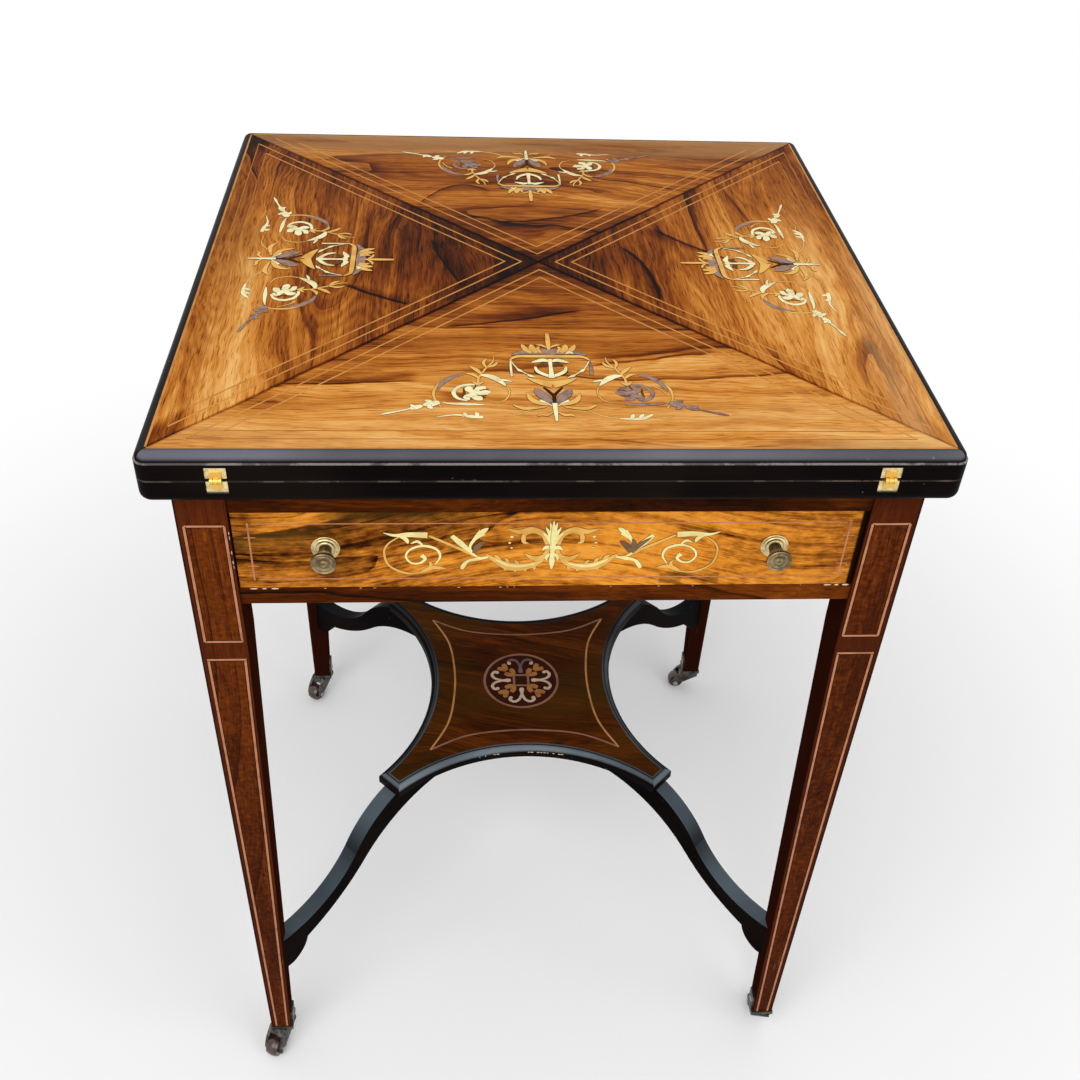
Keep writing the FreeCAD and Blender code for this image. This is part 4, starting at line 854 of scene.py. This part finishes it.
# Bed. The lower board of the top, ebonised at its rounded edge. Its upper arris, where the flaps meet it,
# is rubbed pale in places, and the board is turned on the frieze by an iron plate with a stud.
bed_wear = ((0.7376, 0.001, 0.17), (0.7215, 0.0012, -0.02))
# The upward faces carry a faint painted grey highlight.
bed_black = ebonised("bed_ebonised", (0.05, 0.06, 0.07), (0, 0, 1), bed_wear, (0.1, 0.075, 0.062))
dress(bed_black, "bed")
dress(steel, "swivel_plate", "swivel_screws", "swivel_washer", "swivel_nut")


# Baize. Green wool cloth is glued to the bed and to the inside of each flap, so that the top is a square
# green playing field when it is turned and opened. Each piece is cut to its board, short of the edge.
wool = {"Roughness": 0.95, "Sheen Weight": 0.35, "Sheen Roughness": 0.5}
baize, shader, place = new_finish("green_baize", wool)
nap = place.cloud(900.0, 900.0, 4.0, 0.7)
wear = place.cloud(14.0, 14.0, 3.0)
colour = nap.rise(0.3, 0.7).blend((0.02, 0.085, 0.035), (0.04, 0.15, 0.065))
colour = (wear.rise(0.5, 0.75) * 0.35).blend(colour, (0.07, 0.16, 0.075))
feed(shader, base_color=colour, normal=nap.relief(0.0004))


def cloth(piece_name, outline, low, high, turn, body, node_name):
    """A flat cloth cut to an outline, its cut edge softened."""
    shape = bmesh.new()
    floor_spots = [shape.verts.new((x, y, low)) for x, y in outline]
    bottom = shape.faces.new(floor_spots)
    raised = bmesh.ops.extrude_face_region(shape, geom=[bottom])["geom"]
    tops = [v for v in raised if isinstance(v, bmesh.types.BMVert)]
    bmesh.ops.translate(shape, verts=tops, vec=(0, 0, high - low))
    rim = [e for e in shape.edges if all(v in tops for v in e.verts)]
    bmesh.ops.bevel(shape, geom=rim, offset=(high - low) * 0.45, segments=3, affect="EDGES", profile=0.5)
    bmesh.ops.triangulate(shape, faces=[f for f in shape.faces if len(f.verts) > 4])
    bmesh.ops.recalc_face_normals(shape, faces=shape.faces)
    bmesh.ops.transform(shape, matrix=Matrix.Rotation(turn, 4, "Z"), verts=shape.verts)
    return stand_in(shape, piece_name, baize, body, node_name)


bed_low, bed_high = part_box("bed_baize")
half = bed_high.x
square = [(-half, -half), (half, -half), (half, half), (-half, half)]
bed_cloth = cloth("baize_bed", square, bed_low.z, bed_high.z, 0.0, "top", "bed_baize")
2 * half
2 * half

flap_low, flap_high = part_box("flap_baize_front")
triangle = [(-flap_high.x, flap_low.y), (flap_high.x, flap_low.y), (0.0, flap_high.y)]
for quarter, side in enumerate(sides):
    lining = cloth(
        "baize_flap_" + side, triangle, flap_low.z, flap_high.z, math.radians(90 * quarter),
        "flap_" + side, "flap_baize_" + side,
    )


# Hinges. Small brass edge hinges are let into the outer faces of bed and flaps, two to a flap, with a
# plate above and below the seam. They are still bright, tarnished in spots, with a golden link between.
hinge_leaf_half = 0.007
hinge_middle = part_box("hinge_flap_leaves_front")[1].x - hinge_leaf_half
flap_hinge = next(joint for joint in frame["joints"] if joint["name"] == "flap_hinge_front")


def on_link(place):
    along = place.axis("X").size().smaller(place.axis("Y").size())
    from_middle = (along - hinge_middle).size()
    from_pin = (place.axis("Z") - flap_hinge["pos_m"][2]).size()
    return (1.0 - from_middle.rise(0.0036, 0.004)) * (1.0 - from_pin.rise(0.0066, 0.0072)) * 0.85


bright, gilt = ((0.86, 0.72, 0.4), (0.62, 0.47, 0.2)), (0.8, 0.46, 0.07)
hinge_brass = old_metal("hinge_brass", *bright, 0.3, 260.0, on_link, gilt)
dress(hinge_brass, "hinge_bed_leaves", "hinge_pins", *("hinge_flap_leaves_" + side for side in sides))


# Flaps. Four triangular boards veneered in figured rosewood, golden outside and dark towards the middle,
# with two thin lines round a border and an ebonised thumb moulding glued along the outer edge. Their tones
# also carry painted light, the front flap brightest and the back darkest. Each flap has a spray of marquetry
# with an urn in the middle.
# Besides the real figure, each side's lifts hold painted light: the front flap is made brightest, and the
# back and side flaps darker, as the light falls off from front to back.
flap_figure_and_painted_light = {
    "front": (0.66, 0.81, -0.02, 0.165, -0.15, 0.01, 0.2, 0.0),
    "right": (0.5, 0.78, -0.06, 0.115, -0.06, 0.03, 0.18, 0.15),
    "back": (0.61, 0.55, 0.0, 0.16, -0.2, 0.025, 0.1, 0.12),
    "left": (0.46, 0.69, 0.16, 0.19, -0.12, 0.04, 0.22, 0.32),
}
end_falls = {"front": (0.1, 0.0), "right": (0.11, 0.22), "back": (0.0, 0.0), "left": (0.0, 0.05)}
# The faded pale outer edges are the wood's own; each side's tone and share also carry painted light, pale at
# the front and darker at the back.
edge_fade_and_painted_light = {
    "front": ((0.82, 0.5, 0.19), 0.3, 0.8),
    "right": ((0.92, 0.58, 0.25), 0.4, 0.0),
    "back": ((0.4, 0.205, 0.08), 1.0, 1.0),
    "left": ((0.03, 0.014, 0.006), 0.36, 0.04),
}
band_outer, band_inner = 0.01, 0.0195
flap_edge, top_half = 0.266, 0.275
moulding_wear = ((0.7509, 0.0006, 0.22), (0.7384, 0.0005, 0.0))
worn_grey = (0.27, 0.24, 0.225)
# The front moulding is a lit copy with a painted blue-grey highlight on its upper round; the side and back
# mouldings are a shaded copy with almost none.
front_painted_highlight, front_light = (0.138, 0.135, 0.162), (0, -0.6, 0.8)
front_painted_lit_black = ebonised("front_moulding_ebonised", front_painted_highlight, front_light, moulding_wear, worn_grey)
side_painted_dim_black = ebonised("moulding_ebonised", (0.022, 0.02, 0.022), (0, 0, 1), moulding_wear, worn_grey)
flap_veins = {
    "front": ((-80, 110, 35, 80, 2, 1.9), (-195, 189, -90, 185, 0, 1.4), (25, 162, 125, 141, 1, 2.4)),
    "right": ((32, 70, -70, 92, 10, 3.0), (66, 103, 0, 169, -6, 3.6)),
    "back": ((104, 104, 34, 136, 30, 2.2), (40, 78, -66, 109, -11, 2.2)),
    "left": ((42, 156, 76, 102, 3, 5.0), (-40, 88, 48, 62, 2, 1.5)),
}
for quarter, side in enumerate(sides):
    turn = math.radians(-90 * quarter)
    veneer, shader, place = new_finish("flap_rosewood_" + side, polish)
    face = place.turned((0, 0, turn))
    log = face.turned(shift=(1.61 * quarter, 0.57 * quarter, 0.41 * quarter))
    heart_lift, sap_lift, tilt, heart_reach, heart_slope, softness, fall, corner_fall = flap_figure_and_painted_light[side]
    out = 0.0 - face.axis("Y")
    along = face.axis("X")
    wander = (log.cloud(4.5, 4.5, 2.0, 0.5) - 0.5) * 0.07 + (log.cloud(18.0, 60.0, 3.0, 0.6) - 0.5) * 0.012
    past_heart = out + wander - along * heart_slope - heart_reach
    heart = 1.0 - past_heart.rise(-softness, softness)
    depth = (0.0 - past_heart - along.size() * 0.7).rise(0.0, 0.15)
    line = past_heart.rise(-0.008, 0.0) * (1.0 - past_heart.rise(0.0, 0.002))
    line = line * log.cloud(6.0, 10.0, 2.0).rise(0.42, 0.6)
    from_mitre = (out - along.size()) * math.sqrt(0.5)
    outward = out.rise(0.05, 0.25)
    grime = 1.0 - from_mitre.rise(0.0004, 0.0026)
    shade = (1.0 - from_mitre.rise(0.003, 0.018)) * (1.0 - out.rise(0.03, 0.13))
    drawn = 0.0
    for start, start_out, end, end_out, bow, half_wide in flap_veins[side]:
        t = (along * per_metre - start) * (1.0 / (end - start))
        path = start_out + t * (end_out - start_out) + t * (1.0 - t) * (4.0 * bow)
        path = path + (log.cloud(22.0, 22.0, 3.0, 0.6) - 0.5) * 9.0
        gap = out * per_metre - path
        core = 1.0 - gap.size().rise(0.0, half_wide)
        trail = gap.rise(-20.0, 0.0) * (1.0 - gap.rise(0.0, half_wide))
        dark = core * 0.34 + trail * 0.16
        drawn = dark * t.rise(0.0, 0.12) * (1.0 - t.rise(0.86, 1.0)) + drawn
    lift = sap_lift + along * (tilt / top_half) - heart * (sap_lift - heart_lift) - depth * fall
    lift = lift - line * 0.26 - drawn - grime * (0.34 - outward * 0.12) - shade * 0.12
    from_edge = flap_edge - out
    in_border = 1.0 - from_mitre.smaller(from_edge).rise(band_inner - 0.0003, band_inner)
    in_corner = 1.0 - from_mitre.larger(from_edge).rise(band_inner - 0.009, band_inner + 0.004)
    lift = lift - in_border * 0.04 - in_corner * corner_fall
    low_fall, high_fall = end_falls[side]
    lift = lift - (1.0 - along.rise(-0.25, -0.12)) * low_fall
    lift = lift - along.rise(0.0, 0.16) * out.rise(0.1, 0.22) * high_fall
    colour, height = rosewood_figure(log, lift)
    faded = out.rise(0.2, 0.262) * log.cloud(5.0, 30.0, 2.0).rise(0.3, 0.65)
    pale, low_share, high_share = edge_fade_and_painted_light[side]
    colour = (faded * (low_share + along.rise(-0.1, 0.2) * (high_share - low_share))).blend(colour, pale)
    knots = log.node("ShaderNodeTexVoronoi", {}, {"Vector": log, "Scale": 8.0}, "Distance")
    colour = ((1.0 - knots.rise(0.005, 0.015)) * 0.75).blend(colour, (0.03, 0.012, 0.005))
    feed(shader, base_color=colour, normal=height.relief(0.0001))
    dress(veneer, "flap_board_" + side)
    dress(front_painted_lit_black if side == "front" else side_painted_dim_black, "flap_moulding_" + side)

flap_lines = Inlay()
edge_line = flap_edge * per_metre
for away in (band_outer * per_metre, band_inner * per_metre):
    tip = away * math.sqrt(2)
    level = away - edge_line
    inset = edge_line - away - tip
    flap_lines.line("boxwood", [(-inset, level), (0, -tip), (inset, level)], 1.4)
    flap_lines.line("edge", [(-inset, level), (inset, level)], 0.9)
rim_reach = 265.0
flap_lines.line("boxwood", [(-rim_reach, -edge_line), (rim_reach, -edge_line)], 1.5)
flap_line_wood = inlay_wood("flap_boxwood_line", (0.62, 0.285, 0.07), (0.38, 0.145, 0.03))
worn_line_wood = inlay_wood("flap_worn_line", (0.46, 0.175, 0.035), (0.28, 0.095, 0.017))


def urn_spray(flower, tail):
    """The flap's marquetry, drawn from its foot upwards with the flap's outer edge below."""
    spray = Inlay(foot=-236.0)
    draw = spray.draw
    left, right, middle = (-1,), (1,), (1,)
    draw("satin", [(8, 18), (19, 16.5), (31, 8), (45, 4.4)], (0.9, 1.4, 1.3, 1.0), ways=right)
    draw("satin", [(8, 18), (16, 15), (26, 9), (36, 7)], (0.9, 1.2, 1.0, 0.4), ways=left)
    draw("bone", [(81, 6), (68, 8.6), (58, 6.8), (49.5, 5.8)], (0.5, 1.7, 3.6, 3.0), ways=left)
    draw("bone", [(60, 7), (61.5, 9), (62, 11.5)], 3.4, 0.9, ways=left)
    draw("bone", [(53.5, 7), (53.5, 9.5), (54.5, 12)], 3.4, 0.9, ways=left)
    draw("bone", [(43, 4.4), (53, 4.0), (60, 5.2), (66, 9.5)], (1.2, 3.0, 3.6, 1.4), ways=right)
    draw("bone", [(51, 5), (52, 7), (53, 10)], 3.2, 0.9, ways=right)
    draw("bone", [(57, 6), (58.5, 8), (60, 10)], 2.8, 0.9, ways=right)
    draw("satin", [(66, 7), (73, 5.5), (80, 7.5)], (0.8, 1.2, 0.4), ways=right)
    draw("satin", [(77, 17), (82.5, 29), (82.5, 41), (77, 53)], (0.8, 1.7, 2.1, 0.8))
    draw("purple", [(61.5, 60.5), (70, 57), (77, 49), (80.5, 39)], 4.4)
    draw("satin", [(71, 45.5), (76, 41), (80, 33)], (2.2, 1.2, 0.8), ways=right)
    draw("satin", [(33, 46), (30.5, 37), (34, 27), (42, 23)], (0.8, 1.2, 1.2, 0.5))
    scroll = [(51, 45.8), (58, 46.8), (65.5, 44), (69.3, 37), (66.8, 29.5), (60, 26)]
    draw(flower, scroll, (1.4, 2.4, 2.8, 3.0, 2.6, 1.4))
    for lobe, wide in (
        ([(57, 35), (52, 40), (47, 44.5)], 8.0),
        ([(57, 35), (50, 36), (43, 37.5)], 8.4),
        ([(57, 34), (53, 30), (49.5, 27)], 7.0),
        ([(55, 36), (58.5, 40.5), (58.5, 45)], 6.6),
        ([(56, 34), (60, 30.5), (58.5, 27)], 6.0),
    ):
        draw(flower, lobe, wide, 0.8)
    draw("umber", [(62.5, 42), (62, 36.5), (63, 31)], (0.5, 1.5, 0.5))
    draw("umber", [(51.5, 38.6), (48.5, 40), (45, 40.8)], (0.3, 1.0, 0.7))
    draw("umber", [(53.5, 33), (50, 32.4), (46.5, 33)], (0.3, 1.0, 0.7))
    draw("umber", [(56, 40), (54.5, 43), (54, 46)], (0.3, 0.8, 0.6))
    draw(flower, [(77, 23.6), (70, 22.2), (60, 21.6), (48.5, 21)], (0.7, 2.2, 3.4, 0.9))
    draw(tail, [(79, 24), (84.5, 22), (90.5, 20)], 7.0, 0.5)
    draw(tail, [(84, 22), (86, 25), (89.5, 26.4)], 3.8, 0.9)
    draw(tail, [(86, 21), (85.5, 18), (83, 15.8)], 3.6, 0.9)
    draw(tail, [(90.5, 19.5), (95, 17.4), (100, 15.2)], 5.4, 0.5)
    draw(tail, [(94.5, 17), (97, 19), (98.5, 21)], 3.0, 0.9)
    draw(tail, [(98, 16), (107, 12.4), (113, 10.4), (118.5, 8.4)], (1.4, 1.5, 2.4, 0.8))
    stem = [(52, 46), (52, 54), (50, 60), (46, 69), (41.5, 77), (40.5, 84)]
    draw("satin", stem, (2.4, 1.7, 1.6, 1.6, 1.3, 0.6))
    draw("satin", [(56.5, 51), (52.5, 47.6), (48, 50.5)], (0.5, 3.6, 0.5))
    draw("satin", [(50, 61), (53.5, 66.5), (58.5, 71.5)], 3.6, 0.6)
    draw("satin", [(45, 70), (40.5, 72.5), (37.5, 77.5)], 2.8, 0.5)
    draw("satin", [(46, 69), (48, 76), (45.5, 82)], 2.4, 0.5)
    draw("satin", [(51.5, 55), (56, 60), (61, 61)], 3.0, 0.5)
    draw("bone", [(50, 59), (44, 57.6), (38, 52.6), (32.5, 44.5)], 5.6, 0.3)
    draw("bone", [(39, 53), (33.5, 52.4), (28, 50.4)], 2.4)
    draw("satin", [(6, 18.6), (14, 17), (22, 16.6), (29, 21)], (1.2, 3.2, 3.8, 0.6))
    draw("satin", [(4.5, 20.6), (11, 23.4), (16, 28), (18.5, 36.5)], 4.8, 0.35)
    draw("satin", [(1.5, 12), (6, 8.4), (10, 8.6), (13, 6.4)], (0.8, 2.8, 2.4, 0.6))
    draw("purple", [(2.4, 23.5), (6, 30), (10, 36.5), (12.4, 42)], 7.6, 0.4)
    draw("bone", [(2.2, 19.5), (6, 23.6), (10, 26.4)], (0.9, 1.2, 2.8))
    draw("mastic", [(0.2, 33), (3, 37.6), (6.6, 43.4)], (2.2, 1.9, 0.8))
    draw("mastic", [(0, 22), (0, 28), (0, 35)], (2.0, 2.2, 2.4), ways=middle)
    draw("bone", [(0, 0.6), (0, 9), (0, 17), (0, 23)], (1.4, 2.7, 3.2, 3.6), ways=middle)
    draw("satin", [(0, 46.8), (6, 49), (12, 52), (17.5, 55.5)], (9.2, 7.2, 4.6, 0.8))
    draw("umber", [(2, 60), (7, 60.6), (12, 64.5)], (1.6, 3.2, 1.0))
    draw("umber", [(2.2, 71.5), (5.5, 73.6), (9, 71.8)], (2.0, 4.0, 1.0))
    draw("bone", [(28.4, 79.5), (28.6, 70), (28.2, 57.5)], (1.3, 1.6, 1.8), ways=left)
    draw("purple", [(28.4, 79.5), (29.0, 70), (28.6, 60)], (1.0, 2.0, 2.4), ways=right)
    draw("bone", [(28, 78), (25, 70), (19.5, 62.4), (11.5, 56)], (0.9, 0.9, 1.1, 0.9))
    draw("bone", [(24.6, 68.4), (22.4, 65.4), (20, 63)], (0.6, 2.8, 0.6))
    draw("bone", [(17.4, 60.4), (15, 58.2), (12.2, 56.4)], (0.6, 3.0, 0.6))
    draw("bone", [(0.4, 57.5), (5, 60), (9.6, 64.5), (11.2, 70.5)], (3.6, 3.4, 3.0, 1.4))
    draw("bone", [(0.4, 77.6), (5, 79.6), (9, 78.2), (13.4, 76.4)], (2.0, 4.4, 3.6, 0.7))
    draw("bone", [(0, 55.5), (0, 62), (0, 72), (0, 81)], (4.6, 3.4, 2.5, 3.0), ways=middle)
    draw("purple", [(0, 91), (10, 91.6), (19, 90.6), (27.5, 86.6)], (7.6, 7.2, 5.0, 0.8))
    draw("satin", [(0, 85), (15, 85), (24, 84.4), (29, 79.6)], (3.8, 3.8, 3.2, 1.2))
    draw("satin", [(6, 90), (8.2, 95), (6.6, 99)], 3.0, 0.6)
    draw("satin", [(9, 90), (12, 96), (12.6, 102)], 5.2, 0.6)
    draw("satin", [(13, 90), (17, 95), (19.8, 102)], 4.6, 0.6)
    draw("satin", [(0.8, 97), (5, 100.4), (9.4, 101.4)], 2.4, 0.5)
    draw("bone", [(12, 88.4), (15, 90.6), (17.4, 88.8)], (0.8, 3.6, 0.8), ways=right)
    draw("satin", [(0, 94.5), (0, 104), (0, 112), (0, 118)], (2.2, 3.6, 3.2, 2.4), ways=middle)
    return spray


spray_woods = {
    "satin": satinwood,
    "bone": inlay_wood("bone_inlay", (0.95, 0.88, 0.52), (0.66, 0.5, 0.24), 500.0),
    "purple": inlay_wood("purplewood_inlay", (0.37, 0.24, 0.19), (0.11, 0.06, 0.055), 900.0, 3.0),
    "umber": inlay_wood("umber_shading", (0.16, 0.06, 0.015), (0.08, 0.028, 0.008)),
    "mastic": mastic,
}
flower_and_tail = {
    "front": (("bone", "purple"), ("bone", "purple")),
    "right": (("bone", "bone"), ("bone", "bone")),
    "back": (("bone", "purple"), ("purple", "bone")),
    "left": (("bone", "bone"), ("bone", "purple")),
}
flap_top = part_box("flap_board_front")[1].z
for quarter, side in enumerate(sides):
    body = "flap_" + side
    on_flap = [Matrix.Rotation(math.radians(90 * quarter), 4, "Z") @ Matrix.Translation((0, 0, flap_top))]
    let_in(flap_lines, "boxwood", flap_line_wood, "flap_stringing_" + side, body, on_flap)
    let_in(flap_lines, "edge", worn_line_wood, "flap_edge_stringing_" + side, body, on_flap)
    spray = urn_spray(*flower_and_tail[side])
    for wood, material in spray_woods.items():
        name = "flap_inlay_" + wood + "_" + side
        let_in(spray, wood, material, name, body, on_flap, 0.0, strip_step / 2)
    let_in(spray, "all", mastic, "flap_inlay_outline_" + side, body, on_flap, outline_wide)


# Studio. A pale floor and an even white surround, with a broad soft lamp above and in front of the table,
# and the camera a little left of the middle, looking down on the top.
def seen_rays(tree):
    """1 for what the camera sees straight, in gloss or through glass, and 0 for the light on the object."""
    rays = tree.nodes.new("ShaderNodeLightPath").outputs
    seen = Wire(rays["Is Camera Ray"]).larger(Wire(rays["Is Glossy Ray"]))
    return seen.larger(Wire(rays["Is Transmission Ray"]))


floor_half = 6.0
floor_mesh = bpy.data.meshes.new("studio_floor")
floor_spots = [(x * floor_half, y * floor_half, 0) for x, y in ((-1, -1), (1, -1), (1, 1), (-1, 1))]
floor_mesh.from_pydata(floor_spots, [], [(0, 1, 2, 3)])
floor_paint, shader, place = new_finish("studio_floor_white", {"Roughness": 0.9, "Specular IOR Level": 0.0})
tree = floor_paint.node_tree
seen = seen_rays(tree)
pale = place.cloud(3.0, 3.0, 2.0).blend((0.95, 0.95, 0.955), (0.96, 0.96, 0.965))
feed(shader, base_color=seen.blend((0.4, 0.4, 0.4), pale))
far = place.node("ShaderNodeVectorMath", {"operation": "LENGTH"}, {0: place}, "Value").rise(0.35, 1.3)
white = Wire(tree.nodes.new("ShaderNodeEmission").outputs["Emission"])
lit = Wire(shader.outputs["BSDF"])
lit = lit.node("ShaderNodeMixShader", {}, {0: seen * far, 1: lit, 2: white})
tree.links.new(lit.socket, tree.nodes["Material Output"].inputs["Surface"])
floor_mesh.materials.append(floor_paint)
in_scene("studio_floor", floor_mesh)

ambient = 0.62
world = bpy.data.worlds.new("white_surround")
bpy.context.scene.world = world
world.use_nodes = True
tree = world.node_tree
surround = tree.nodes["Background"].inputs
surround["Color"].default_value = (1.0, 1.0, 1.0, 1.0)
tree.links.new((ambient + seen_rays(tree) * (1.0 - ambient)).socket, surround["Strength"])

lamp_aim = Vector((0.0, 0.0, 0.5))
for lamp_name, spot, size, power in (
    ("key_lamp", (-0.9, -2.0, 2.4), 2.4, 44.0),
    ("fill_lamp", (1.7, -1.6, 1.5), 2.0, 16.0),
):
    lamp = bpy.data.lights.new(lamp_name, "AREA")
    lamp.size = size
    lamp.energy = power
    holder = in_scene(lamp_name, lamp)
    holder.location = spot
    holder.rotation_euler = (lamp_aim - Vector(spot)).to_track_quat("-Z", "Y").to_euler()

yaw, pitch, roll = 0.086, 0.684, 0.050
camera = bpy.data.cameras.new("camera")
camera.sensor_width = 36.0
camera.lens = 40.653
eye = in_scene("camera", camera)
tilted = Matrix.Rotation(math.pi / 2 - pitch, 4, "X") @ Matrix.Rotation(roll, 4, "Z")
stand = Matrix.Translation((-0.0663, -0.9181, 1.2140))
eye.matrix_world = stand @ Matrix.Rotation(-yaw, 4, "Z") @ tilted
bpy.context.scene.camera = eye
bpy.context.scene.view_settings.view_transform = "Standard"
